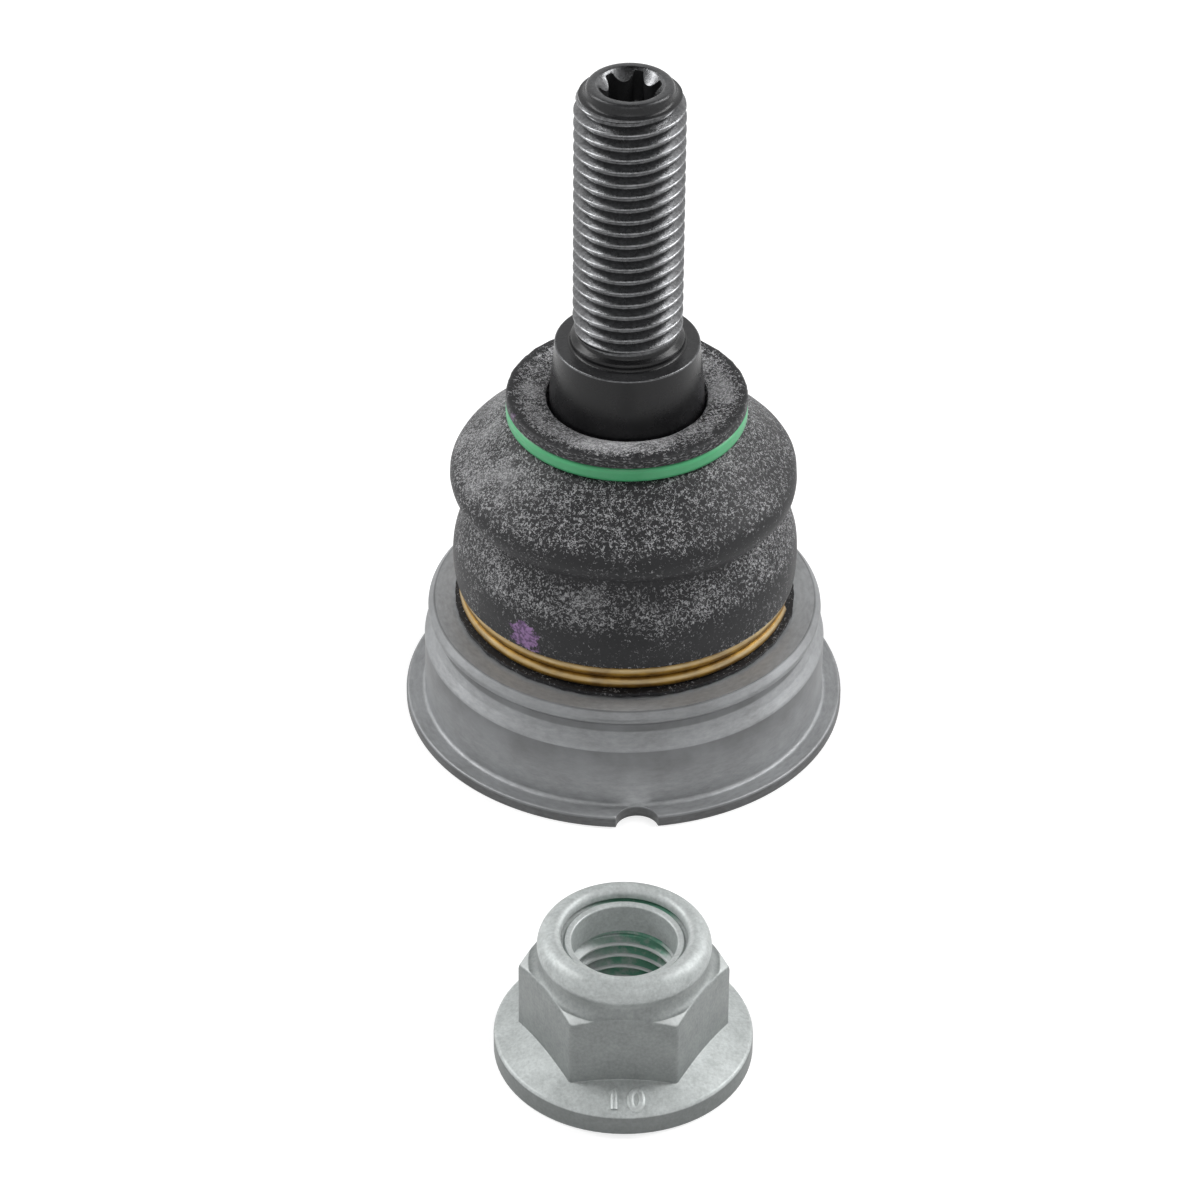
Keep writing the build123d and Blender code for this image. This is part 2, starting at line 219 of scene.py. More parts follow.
def skin(name, rows, turn, centre=(0.0, 0.0)):
    """Joins rows of (radius, height, rubbing and painted light) round a vertical axis."""
    radius, height, wear_and_painted_light = (
        np.array([np.broadcast_to(row[part], turn.shape) for row in rows]) for part in range(3)
    )
    points = np.stack(
        [centre[0] + radius * np.cos(turn), centre[1] + radius * np.sin(turn), height], -1
    )
    return grid_object(name, points, wear_and_painted_light)


# %% [markdown]
# ## Small helpers for materials
#
# Colours are picked as sRGB hex values, as a paint chart gives them, but a shader works in linear
# light, so one function converts them. One more function adds a node with its settings and links.
# Inputs are named, but plain sums take theirs in order. Map Range's order is the value, the two
# limits that it comes from (0 and 1 if not given) and the two that it goes to.

# %% Colour and node helpers
def to_linear(hex_colour):
    """Linear RGBA from an sRGB hex value such as #808080."""
    channels = [int(hex_colour[i : i + 2], 16) / 255 for i in (1, 3, 5)]
    return tuple(
        c / 12.92 if c <= 0.04045 else ((c + 0.055) / 1.055) ** 2.4 for c in channels
    ) + (1.0,)


def connect(tree, node, inputs):
    """Fills a node's inputs, given by name or in order, with values or other nodes' outputs."""
    for name, value in inputs.items() if isinstance(inputs, dict) else enumerate(inputs):
        if isinstance(value, bpy.types.NodeSocket):
            tree.links.new(value, node.inputs[name])
        else:
            node.inputs[name].default_value = value


def add(tree, kind, inputs, output=0, **settings):
    """Adds a node with its settings and inputs, and returns the output that is asked for."""
    node = tree.nodes.new("ShaderNode" + kind)
    for name, value in settings.items():
        setattr(node, name, value)
    connect(tree, node, inputs)
    return node.outputs[output]


def new_material(name):
    """An empty node material and its Principled shader."""
    material = bpy.data.materials.new(name)
    material.use_nodes = True
    tree = material.node_tree
    return material, tree, tree.nodes["Principled BSDF"]


# A Mix node has sockets for every kind of data. Colours go in at 6 and 7 and come out at 2.
MIX_A, MIX_B = 6, 7
AS_COLOUR = {"output": 2, "data_type": "RGBA"}
mid_grey = to_linear("#808080")
print(f"#808080 is {mid_grey[0]:.3f} in linear light")


# %% Places in millimetres, straight and round the axis
def place_in_mm(tree, centre=(0.0, 0.0)):
    """The point on the piece in mm, from an axis that may stand off the origin."""
    place = add(tree, "TexCoord", {}, "Object")
    place = add(tree, "VectorMath", {0: place, "Scale": 1 / MM}, operation="SCALE")
    return add(tree, "VectorMath", (place, (*centre, 0)), operation="SUBTRACT")


def turned_place(tree, place, along):
    """Radius and height in mm with the angle shrunk, so that a noise becomes tool marks.

    along is how far a mark runs round the piece, in radians, before it changes.
    """
    parts = add(tree, "SeparateXYZ", {0: place}).node.outputs
    flat = add(tree, "CombineXYZ", {"X": parts["X"], "Y": parts["Y"]})
    radius = add(tree, "VectorMath", (flat,), "Value", operation="LENGTH")
    angle = add(tree, "Math", (parts["Y"], parts["X"]), operation="ARCTAN2")
    shrunk = add(tree, "Math", (angle, 1 / along), operation="MULTIPLY")
    return add(tree, "CombineXYZ", {"X": radius, "Y": parts["Z"], "Z": shrunk})


# %% [markdown]
# ## Finish: turned steel
#
# The housing is carbon steel, turned on a lathe and left with a thin dull coating against rust.
# To the eye that is a satin grey metal: reflections are blurred, and fine rings run round the
# axis. The coating hides most of the metal, so the shader is only a quarter metallic, and fully so
# where the coating is rubbed off or a painted highlight lies. The tool's feed was about 0.1 mm,
# too fine to show at this size, so the rings are drawn 0.25 mm apart. Edges that rub against
# other parts are brighter and nicked, and faint stains a few millimetres wide keep the broad bands
# from looking like plastic. The bevel, the rim, the flange's top and the top face carry painted
# highlight, stored as extra wear. The flange's upright rim carries painted shade: there the
# stored value is below 0.

# %% Turned steel
STEEL_DARK = to_linear("#6c6d6e")
STEEL_LIGHT = to_linear("#858789")
# Worn steel for rubbed edges, and the colour of the painted highlight bands.
STEEL_WORN_AND_HIGHLIGHT = to_linear("#d2d4d6")
# Painted shade: dark grey laid on the flange's upright rim, where the stored value is below 0.
STEEL_PAINTED_SHADE = to_linear("#3c3c3b")
TURNING_PITCH = 0.25
STAIN_SIZE = 5.0
NICK_SIZE = 0.4


def turned_steel():
    material, tree, shader = new_material("turned_carbon_steel")
    place = place_in_mm(tree)
    ring_place = turned_place(tree, place, along=0.6)
    rings = add(tree, "TexNoise", {
        "Vector": ring_place, "Scale": 1 / TURNING_PITCH, "Detail": 3.0, "Roughness": 0.6,
    })
    stains = add(tree, "TexNoise", {
        "Vector": place, "Scale": 1 / STAIN_SIZE, "Detail": 4.0, "Roughness": 0.55,
    })
    stained = add(tree, "MapRange", (stains, 0.32, 0.68))
    tone = add(tree, "Mix", {0: stained, MIX_A: STEEL_DARK, MIX_B: STEEL_LIGHT}, **AS_COLOUR)
    nick_place = turned_place(tree, place, along=0.12)
    nicks = add(tree, "TexNoise", {
        "Vector": nick_place, "Scale": 1 / NICK_SIZE, "Detail": 4.0, "Roughness": 0.7,
    })
    nicked = add(tree, "MapRange", (nicks, 0.35, 0.75, 0.5))
    stored_wear_and_light = add(tree, "Attribute", {}, "Fac", attribute_name="wear_and_painted_light")
    # Rubbed edges and the painted highlight bands turn lighter and more metallic here.
    rubbed_and_highlight = add(tree, "Math", (stored_wear_and_light, nicked), operation="MULTIPLY", use_clamp=True)
    # Stored values below 0 give painted shade, patchy where the nicks fall.
    painted_shade = add(tree, "Math", (stored_wear_and_light, -1.0), operation="MULTIPLY", use_clamp=True)
    patchy_painted_shade = add(tree, "Math", (painted_shade, nicked), operation="MULTIPLY")
    colour = add(tree, "Mix", {0: rubbed_and_highlight, MIX_A: tone, MIX_B: STEEL_WORN_AND_HIGHLIGHT}, **AS_COLOUR)
    connect(tree, shader, {
        "Base Color": add(
            tree, "Mix", {0: patchy_painted_shade, MIX_A: colour, MIX_B: STEEL_PAINTED_SHADE}, **AS_COLOUR
        ),
        "Metallic": add(tree, "MapRange", (rubbed_and_highlight, 0.0, 1.0, 0.25)),
        "Roughness": add(tree, "MapRange", (rings, 0.0, 1.0, 0.44, 0.58)),
        "Normal": add(tree, "Bump", {"Height": rings, "Strength": 0.35, "Distance": 0.03 * MM}),
    })
    return material


steel = turned_steel()
print("made", steel.name)

# %% [markdown]
# ## The housing
#
# The housing is pressed into a control arm: a thin flange stops it, the broad smooth band holds
# it by friction, and a groove and rim above are for a puller. A small notch in the flange shows
# the fitter which way round it goes.
#
# A Boolean could cut the notch, but it is simpler to let the flange's radius follow the notch's
# circle wherever that circle lies nearer to the axis. Columns crowd together there so that the
# arc is round.

# %% Housing outline and sizes
flange_thickness = 1.35
press_radius = 22.6
press_root = 0.45
press_top_z = 8.95
groove_radius = 21.3
groove_low_z = 10.0
groove_high_z = 11.75
rim_radius = 22.15
rim_low_z = 12.5
rim_high_z = 12.95
top_face_radius = 21.5
top_face_z = 13.7
race_radius = 14.3
neck_radius = 16.0
neck_bead_z = 18.3
neck_bead_radius = 16.5
neck_top_radius = 14.9
neck_mouth_radius = 11.4
race_top_z = 21.09
cover_radius = 16.45
cover_low_z = 1.2
cover_high_z = 2.6
rolled_lip_radius = 15.5
rolled_lip_root = 17.6

housing_corners = [
    (rolled_lip_root, 0, 0.5),
    (flange_radius, 0, 0.15),
    (flange_radius, flange_thickness, 0.36),
    (press_radius, flange_thickness, press_root),
    (press_radius, press_top_z, 0.45),
    (groove_radius + 0.5, groove_low_z - 0.1, 0.9),
    (groove_radius, groove_low_z + 0.75, 0.9),
    (groove_radius, groove_high_z, 0.45),
    (rim_radius, rim_low_z, 0.36),
    (rim_radius, rim_high_z, 0.36),
    (top_face_radius, top_face_z, 0.36),
    (neck_radius, top_face_z, 0),
    (neck_radius, neck_bead_z - 0.5, 0.2),
    (neck_bead_radius, neck_bead_z, 0.2),
    (neck_top_radius, neck_top_z, 0.4),
    (neck_mouth_radius + 1.1, neck_top_z, 0.4),
    (neck_mouth_radius, race_top_z, 0),
    (race_radius, race_top_z, 0),
    (race_radius, cover_high_z, 0),
    (cover_radius, cover_high_z, 0),
    (cover_radius, cover_low_z, 0),
    (rolled_lip_radius, cover_low_z, 0),
    (rolled_lip_radius, 0.4, 0.2),
]
print(len(housing_corners), "corners drive the housing")

# %% Housing with its notch
notch_radius = 2.4
notch_depth = 2.1
notch_angle = radians(-86.5)
notch_columns = 28
housing_columns = 240
# Painted highlight: these raise the stored wear on the bevel, the rim, the flange's top and the
# top face, so that those bands render lighter and more metallic.
bevel_painted_highlight = 0.36
rim_painted_highlight = 0.26
flange_top_painted_highlight = 0.5
top_face_painted_highlight = 0.6
# Painted shade on the flange's upright rim.
flange_side_painted_shade = -0.75


def notched_turn(half_width):
    """Angles round the housing that start and end at the notch's far side and crowd in it."""
    inside = np.linspace(-half_width, half_width, notch_columns + 1)
    outside = np.linspace(half_width, 2 * pi - half_width, housing_columns + 1)
    return notch_angle + np.concatenate([inside, outside[1:]])


def cut_notch(rows, turn):
    """Pulls the flange's rows in to the notch's circle."""
    centre = flange_radius - notch_depth + notch_radius
    across = centre * np.sin(turn - notch_angle)
    facing = (np.abs(across) <= notch_radius) & (np.cos(turn - notch_angle) > 0)
    inside = np.clip(notch_radius**2 - across**2, 0, None)
    limit = np.where(facing, centre * np.cos(turn - notch_angle) - np.sqrt(inside), np.inf)
    return [
        (np.minimum(radius, limit) if height < press_top_z else radius, height, wear_and_painted_light)
        for radius, height, wear_and_painted_light in rows
    ]


def paint_highlight_band(rows, low, high, amount):
    """Raises the stored value between two heights on the outside: a band of painted highlight."""
    return [
        (r, z, max(wear_and_painted_light, amount) if low < z < high and r > groove_radius - 0.1 else wear_and_painted_light)
        for r, z, wear_and_painted_light in rows
    ]


notch_centre = flange_radius - notch_depth + notch_radius
notch_half_width = acos(
    (notch_centre**2 + flange_radius**2 - notch_radius**2) / (2 * notch_centre * flange_radius)
)
turn = notched_turn(notch_half_width)
# The bevel, rim, flange-top and top-face bands get painted highlight, stored as wear.
housing_rows = paint_highlight_band(soften(housing_corners), press_top_z - 0.1, groove_low_z + 0.8, bevel_painted_highlight)
housing_rows = paint_highlight_band(housing_rows, rim_low_z - 0.1, top_face_z - 0.1, rim_painted_highlight)
housing_rows = paint_highlight_band(housing_rows, flange_thickness - 0.1, flange_thickness + 0.5, flange_top_painted_highlight)
housing_rows = [
    (r, z, top_face_painted_highlight if abs(z - top_face_z) < SAME else wear_and_painted_light) for r, z, wear_and_painted_light in housing_rows
]
# The flange's upright rim gets painted shade.
housing_rows = [
    (r, z, flange_side_painted_shade if r > flange_radius - 0.2 and z < flange_thickness - 0.2 else wear_and_painted_light)
    for r, z, wear_and_painted_light in housing_rows
]
housing = skin("housing_body", cut_notch(housing_rows, turn), turn)
housing.data.materials.append(steel)
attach(housing, "housing")
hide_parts("housing")

# %% [markdown]
# ## Finish: black phosphated steel
#
# The stud is forged, its thread is rolled, and a manganese phosphate bath turns it black. The
# coat is a layer of tiny crystals that holds oil, so the eye sees a dark charcoal with a soft,
# wide sheen. The crystals are not metal, so this is a dielectric. Its surface is porous, which
# reflects less than solid mineral does, so its IOR is low, at 1.38. Where the coat is rubbed
# through or burnished, on the rolled thread and round the recess, steel shows through in grains.
# Crystals are a few hundredths of a millimetre, and they are drawn at 0.16 mm and the worn grains
# at 0.45 mm so that they show.

# %% Black phosphated steel
PHOSPHATE_DARK = to_linear("#101011")
PHOSPHATE_LIGHT = to_linear("#1b1b1d")
PHOSPHATE_WORN = to_linear("#b6b7b9")
CRYSTAL_SIZE = 0.16
GRAIN_SIZE = 0.45
SMEAR_SIZE = 2.5


def phosphated_steel():
    material, tree, shader = new_material("black_phosphated_steel")
    place = place_in_mm(tree)
    crystals = add(tree, "TexNoise", {
        "Vector": place, "Scale": 1 / CRYSTAL_SIZE, "Detail": 2.0, "Roughness": 0.6,
    })
    smears = add(tree, "TexNoise", {
        "Vector": place, "Scale": 1 / SMEAR_SIZE, "Detail": 3.0, "Roughness": 0.5,
    })
    grain = add(tree, "TexNoise", {
        "Vector": place, "Scale": 1 / GRAIN_SIZE, "Detail": 3.0, "Roughness": 0.7,
    })
    grainy = add(tree, "MapRange", (grain, 0.35, 0.65, 0.38, 0.72))
    stored_wear_and_light = add(tree, "Attribute", {}, "Fac", attribute_name="wear_and_painted_light")
    rubbed_and_highlight = add(tree, "Math", (stored_wear_and_light, grainy), operation="MULTIPLY")
    tone = add(
        tree, "Mix", {0: smears, MIX_A: PHOSPHATE_DARK, MIX_B: PHOSPHATE_LIGHT}, **AS_COLOUR
    )
    colour = add(tree, "Mix", {0: rubbed_and_highlight, MIX_A: tone, MIX_B: PHOSPHATE_WORN}, **AS_COLOUR)
    connect(tree, shader, {
        "Base Color": colour,
        "Metallic": add(tree, "MapRange", (rubbed_and_highlight, 0.0, 0.2)),
        "Roughness": add(tree, "MapRange", (smears, 0.0, 1.0, 0.2, 0.34)),
        "Normal": add(
            tree, "Bump", {"Height": crystals, "Strength": 0.5, "Distance": 0.03 * MM}
        ),
        "IOR": 1.38,
    })
    return material


phosphate = phosphated_steel()
print("made", phosphate.name)

# %% [markdown]
# ## The stud
#
# Ball, neck, sealing collar, taper, thread and drive end are one forging, so they are one skin
# from the bottom of the ball to the floor of the recess.
#
# **Thread.** A thread is the lathe's rows tilted into a helix: each row climbs one pitch in one
# turn. Rows are cut off at the height where the thread starts and ends, and its depth fades in
# over half a turn, as the rolling dies leave it. The crests keep the shallow seam of a rolled
# thread.
#
# **Recess.** The six-lobe recess is a radius that waves round the axis. The countersink is a cone
# that meets that wall, and the height at which they meet also follows from the radius.

# %% Thread rows
PITCH = 1.5
THREAD_DEPTH = 0.6134 * PITCH
CREST_WEAR = 0.95


def tooth_outline(seam):
    """One pitch of a rolled metric thread as (share of the pitch, share of the depth) points.

    It runs from root to root. The crest is an eighth of the pitch wide, with a shallow seam.
    """
    return [
        (0.0, 1.0),
        (0.07, 1.0),
        (0.115, 0.965),
        (0.155, 0.88),
        (0.39, 0.13),
        (0.415, 0.055),
        (0.445, 0.012),
        (0.475, seam * 0.5),
        (0.5, seam),
        (0.525, seam * 0.5),
        (0.555, 0.012),
        (0.585, 0.055),
        (0.61, 0.13),
        (0.845, 0.88),
        (0.885, 0.965),
        (0.93, 1.0),
    ]


def smooth(value):
    """Eases from 0 to 1."""
    value = np.clip(value, 0, 1)
    return value * value * (3 - 2 * value)


def thread_rows(turn, crest, blank, ends, fades, phase=0.0, seam=0.05, inward=1, burnish=0.0):
    """Rows of a thread between two heights.

    crest and blank give the radius of the tooth's tip and of the metal beside the thread, each
    as (heights, radii). ends are the lowest and highest point, and fades are the heights over
    which the tooth grows there. inward is 1 for a bolt and -1 for a nut. burnish is how far the
    flanks are rubbed.
    """
    low_z, high_z = ends
    tooth = tooth_outline(seam)
    climb = (turn - turn[0]) / (2 * pi) + phase
    rows = []
    for index in range((ceil((high_z - low_z) / PITCH) + 2) * len(tooth)):
        lap, part = divmod(index, len(tooth))
        share, depth = tooth[part]
        height = low_z + PITCH * (lap - 1 + share + climb)
        height = np.clip(height, low_z, high_z)
        grown = smooth((height - low_z) / fades[0]) * smooth((high_z - height) / fades[1])
        cut = np.interp(height, *crest) - inward * THREAD_DEPTH * depth
        radius = cut * grown + np.interp(height, *blank) * (1 - grown)
        rows.append((radius, height, burnish + (CREST_WEAR - burnish) * (1 - depth) ** 6 * grown))
    return rows


print(f"a tooth is {THREAD_DEPTH:.2f} mm deep and has {len(tooth_outline(0))} points")


# %% Star recess
LOBES = 6
lobe_radius = 3.33
scallop_radius = 1.35
scallop_centre = 2.43 + scallop_radius
lobe_softness = 0.22
recess_angle = radians(14)
recess_mouth = 3.61
recess_depth = 4.0


def star_radius(turn):
    """Radius of the six-lobe recess at each angle: a circle bitten by six smaller ones."""
    across = (turn - recess_angle) % (2 * pi / LOBES) - pi / LOBES
    offset = scallop_centre * np.sin(across)
    bitten = np.abs(offset) < scallop_radius
    inside = np.sqrt(np.clip(scallop_radius**2 - offset**2, 0, None))
    near = np.where(bitten, scallop_centre * np.cos(across) - inside, 9.0)
    blend = np.clip(0.5 + (near - lobe_radius) / (2 * lobe_softness), 0, 1)
    mixed = near * (1 - blend) + lobe_radius * blend
    return mixed - lobe_softness * blend * (1 - blend)


recess_wall = star_radius(even_turn(360))
print(f"recess {2 * recess_wall.min():.2f} to {2 * recess_wall.max():.2f} mm across")


# %% Stud
stud_turn = even_turn(168)
neck_stem_radius = 6.5
collar_radius = 8.56
collar_foot_z = 35.2
taper_start_z = 41.0
taper_top_z = 48.0
taper_top_radius = 7.94
root_ring_radius = 6.24
root_ring_z = 48.75
undercut_radius = 5.59
undercut_z = 49.3
thread_radius = 6.0
thread_low_z = 49.55
thread_high_z = 78.98
thread_phase = 0.31
tip_radius = 5.5
flare = ((4.15, stud_top_z), (5.05, stud_top_z), (4.45, 79.04), (5.42, thread_high_z))
ball_centre_z = ball_low_z + ball_radius
taper_top_wear = 0.12
shank_wear = 0.4
flank_wear = 0.36
boss_wear = 0.06
boss_edge_wear = 0.32
recess_wear = 0.5


def stud_rows():
    """The stud from the bottom of the ball up to the thread."""
    stem_angle = acos((neck_stem_radius + 0.35) / ball_radius)
    ball = [
        (x, z, 0.0)
        for x, z in arc((0, ball_centre_z), ball_radius, -pi / 2, stem_angle, radians(3))
    ]
    ball[0] = (0.0, ball_low_z, 0.0)
    stem_z = ball_centre_z + sqrt(ball_radius**2 - neck_stem_radius**2)
    shank = soften(
        [
            (0, stem_z, 0),
            (neck_stem_radius, stem_z + 0.9, 0),
            (neck_stem_radius, collar_foot_z, 1.7),
            (collar_radius, collar_foot_z, 0.25),
            (collar_radius, taper_start_z, 1.5),
            (taper_top_radius, taper_top_z, 0.2),
            (root_ring_radius, taper_top_z, 0.36),
            (root_ring_radius, root_ring_z, 0.36),
            (undercut_radius, undercut_z, 0.4),
            (undercut_radius, thread_low_z, 0),
            (0, thread_low_z, 0),
        ]
    )
    shank = [
        (r, z, taper_top_wear if abs(z - taper_top_z) < SAME else shank_wear * wear_and_painted_light)
        for r, z, wear_and_painted_light in shank
        if r > undercut_radius - 0.01
    ]
    return ball + shank


def tip_rows(turn):
    """The stud's end above the thread, with its boss and recess."""
    outside = [(tip_radius, thread_high_z, 0.6)]
    for share in np.linspace(1, 0, 15):
        back = 1 - share
        weights = (back**3, 3 * share * back**2, 3 * share**2 * back, share**3)
        r, z = (sum(w * point[part] for w, point in zip(weights, flare)) for part in (0, 1))
        edge = float(smooth(1 - 3 * share))
        outside.append((r, z, boss_wear + (boss_edge_wear - boss_wear) * edge))
    outside.append((recess_mouth + 0.12, stud_top_z, boss_edge_wear))
    outside.append((recess_mouth + 0.03, stud_top_z - 0.02, recess_wear))
    wall = star_radius(turn)
    cone = recess_mouth - wall
    meet = stud_top_z - cone
    floor = stud_top_z - recess_depth
    return outside + [
        (recess_mouth - 0.2 * cone, stud_top_z - 0.2 * cone, recess_wear),
        (wall + 0.06, meet + 0.06, recess_wear),
        (wall, meet, 0.3),
        (wall, meet - 0.06, 0.15),
        (wall, floor + 0.3, 0.1),
        (wall * 0.93, floor, 0.0),
        (wall * 0.5, floor - 0.2, 0.0),
        (0.0 * wall, floor - 0.5, 0.0),
    ]


stud = skin(
    "stud_forging",
    stud_rows()
    + thread_rows(
        stud_turn,
        crest=((77.2, 78.0, thread_high_z), (thread_radius, 5.9, 5.62)),
        blank=((thread_low_z, 77.0, thread_high_z), (undercut_radius, 5.5, tip_radius)),
        ends=(thread_low_z, thread_high_z),
        fades=(1.0, 0.6),
        phase=thread_phase,
        burnish=flank_wear,
    )
    + tip_rows(stud_turn),
    stud_turn,
)
stud.data.materials.append(phosphate)
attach(stud, "stud")
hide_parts("ball_stud")

# %% [markdown]
# ## Finish: moulded rubber with bloom
#
# The boot is chloroprene rubber, moulded black. Wax and talc come to the surface of such rubber
# and dry there as a pale bloom. It lies where nothing rubs it off: on the mouth, in the lee of
# the folds and on the shoulders. Close up it is less a haze than a crowd of short pale strokes,
# about a third of a millimetre apart. Two dabs of violet inspection paint lie on it too.
#
# Where the bloom lies is broad and smooth, so it is worked out for each point of the mesh and
# stored there, together with the point's place at rest. The strokes are fine, so they stay in the
# shader as a noise that is cut at a height which the stored value moves. Because the shader reads
# the place at rest, the strokes stay on the rubber when the boot bends.

# %% Rubber colours and bloom
RUBBER_DARK = to_linear("#18181a")
RUBBER_LIGHT = to_linear("#29292b")
BLOOM = to_linear("#c4c4c6")
PAINT = to_linear("#b18bbf")
PAINT_THIN = to_linear("#6a5276")
STROKE_GAP = 0.32
STROKE_LENGTH = 0.4
PATCH_SIZE = 2.4


def bloom_cover(tree, place):
    """How much bloom lies here: the stored amount, made patchy."""
    patches = add(tree, "TexNoise", {
        "Vector": place, "Scale": 1 / PATCH_SIZE, "Detail": 4.0, "Roughness": 0.6,
    })
    share = add(tree, "MapRange", (patches, 0.3, 0.7, -0.14, 0.14))
    bloom = add(tree, "Attribute", {}, "Fac", attribute_name="bloom")
    return patches, add(tree, "Math", (bloom, share), operation="ADD")


def pale_strokes(tree, place, cover, breaks):
    """Where a stroke of bloom shows: a wavy line that a second noise breaks into pieces."""
    waves = add(tree, "TexNoise", {
        "Vector": place, "Scale": 1 / STROKE_GAP, "Detail": 1.0, "Roughness": 0.5,
        "Distortion": 0.8,
    })
    reach = add(tree, "MapRange", (cover, 0.0, 1.0, 0.015, 0.065))
    off_line = add(tree, "Math", (waves, 0.5), operation="SUBTRACT")
    off_line = add(tree, "Math", (off_line,), operation="ABSOLUTE")
    line_height = add(tree, "Math", (reach, off_line), operation="SUBTRACT")
    stroke = add(tree, "MapRange", (line_height, -0.008, 0.016), interpolation_type="SMOOTHSTEP")
    gap_level = add(tree, "MapRange", (cover, 0.0, 1.0, 0.6, 0.38))
    kept = add(tree, "Math", (breaks, gap_level), operation="SUBTRACT")
    kept = add(tree, "MapRange", (kept, -0.05, 0.05, 0.0, 0.85), interpolation_type="SMOOTHSTEP")
    return add(tree, "Math", (stroke, kept), operation="MULTIPLY")


print(f"strokes {STROKE_LENGTH} mm long in waves {STROKE_GAP} mm apart")

# %% Scored lip and paint
LINE_GAP = 0.16
paint_dabs = [((-11.1, -15.9, 19.6), 1.85, 0.9), ((-12.4, -4.6, 40.9), 0.55, 0.3)]


def lip_scores(tree, place):
    """The fine rings that trimming leaves on the side of the mouth's lip."""
    lip = add(tree, "Attribute", {}, "Fac", attribute_name="lip_side")
    line_place = turned_place(tree, place, along=0.25)
    lines = add(tree, "TexNoise", {"Vector": line_place, "Scale": 1 / LINE_GAP, "Detail": 2.0})
    scored = add(tree, "MapRange", (lines, 0.52, 0.66, 0.0, 0.4))
    return add(tree, "Math", (lip, scored), operation="MULTIPLY")


def with_paint(tree, place, colour, breaks):
    """Lays the ragged dabs of paint over a colour. Between its flecks the paint lies sparse."""
    ragged = add(tree, "TexNoise", {
        "Vector": place, "Scale": 1.1, "Detail": 5.0, "Roughness": 0.75,
    })
    flecks = add(tree, "MapRange", (breaks, 0.4, 0.58))
    paint = add(tree, "Mix", {0: flecks, MIX_A: PAINT_THIN, MIX_B: PAINT}, **AS_COLOUR)
    for dab, radius, strength in paint_dabs:
        away = add(tree, "VectorMath", (place, dab), "Value", operation="DISTANCE")
        edge = add(tree, "MapRange", (ragged, 0.3, 0.7, radius * 0.5, radius * 1.5))
        inside = add(tree, "Math", (edge, away), operation="SUBTRACT")
        painted = add(tree, "MapRange", (inside, 0.0, 0.15, 0.0, strength))
        colour = add(tree, "Mix", {0: painted, MIX_A: colour, MIX_B: paint}, **AS_COLOUR)
    return colour


print(len(paint_dabs), "dabs of paint")

# %% Rubber, put together
def bloomed_rubber():
    material, tree, shader = new_material("chloroprene_rubber")
    place = add(tree, "Attribute", {}, "Vector", attribute_name="rest_place")
    breaks = add(tree, "TexNoise", {
        "Vector": place, "Scale": 1 / STROKE_LENGTH, "Detail": 1.5, "Roughness": 0.6,
    })
    patches, cover = bloom_cover(tree, place)
    pale = pale_strokes(tree, place, cover, breaks)
    haze = add(tree, "MapRange", (cover, 0.7, 1.2, 0.0, 0.4), interpolation_type="SMOOTHSTEP")
    for more in (haze, lip_scores(tree, place)):
        pale = add(tree, "Math", (pale, more), operation="MAXIMUM")
    tone = add(tree, "Mix", {0: patches, MIX_A: RUBBER_DARK, MIX_B: RUBBER_LIGHT}, **AS_COLOUR)
    dusted = add(tree, "Mix", {0: pale, MIX_A: tone, MIX_B: BLOOM}, **AS_COLOUR)
    connect(tree, shader, {
        "Base Color": with_paint(tree, place, dusted, breaks),
        "Roughness": add(tree, "MapRange", (pale, 0.0, 1.0, 0.55, 0.85)),
        "Normal": add(tree, "Bump", {"Height": pale, "Strength": 0.4, "Distance": 0.05 * MM}),
        "IOR": 1.4,
    })
    return material


rubber = bloomed_rubber()
print("made", rubber.name)

# %% [markdown]
# ## The boot
#
# The boot is one moulding: a foot that the wire clamps, two bulges with a fold between them, and
# a thick mouth that seals on the stud's collar. Its wall is two lines of arcs with the same
# centres, one wall apart, so it is drawn that way here too.
#
# When the stud swings, the foot stays and the mouth goes with it. The swing is two crossed
# hinges, so the boot is split in the depth of the fold into a lower and an upper half, which
# meet in the fold.

# %% Boot sizes
boot_wall = 1.7
boot_gap = 0.05
boot_seat_radius = neck_radius + boot_gap
boot_foot_radius = 19.13
boot_foot_top_z = 14.3
boot_groove_radius = 17.11
boot_groove_top_z = 17.49
lower_bulge_radius = 19.23
lower_bulge_z = 19.9
lower_bulge_arc = 12.0
fold_arc = 1.2
upper_bulge_z = 31.0
upper_bulge_arc = 2.6
shoulder = (12.9, mouth_ring_low_z - 0.25)
throat_z = 36.4
boot_bore = collar_radius + boot_gap
mouth_lip_radius = 13.27
mouth_groove_radius = 11.65
mouth_groove_top_z = mouth_ring_high_z + boot_gap
mouth_dish = 0.4


def meeting_point(low, low_reach, high, high_reach):
    """The outer point that lies the given distances from two points."""
    gap = dist(low, high)
    along = (low_reach**2 - high_reach**2 + gap**2) / (2 * gap)
    across = sqrt(low_reach**2 - along**2)
    step = ((high[0] - low[0]) / gap, (high[1] - low[1]) / gap)
    return (
        low[0] + along * step[0] + across * step[1],
        low[1] + along * step[1] - across * step[0],
    )


def angle_to(start, end):
    return atan2(end[1] - start[1], end[0] - start[0])


low_centre = (lower_bulge_radius - lower_bulge_arc, lower_bulge_z)
high_centre = (upper_bulge_radius - upper_bulge_arc, upper_bulge_z)
fold = meeting_point(
    low_centre, lower_bulge_arc + fold_arc, high_centre, upper_bulge_arc + fold_arc
)
fold_low = angle_to(low_centre, fold)
fold_high = angle_to(high_centre, fold)
cone_angle = angle_to(high_centre, shoulder) - acos(upper_bulge_arc / dist(high_centre, shoulder))
print(f"the fold lies at radius {fold[0] - fold_arc:.2f} mm, {fold[1]:.2f} mm up")

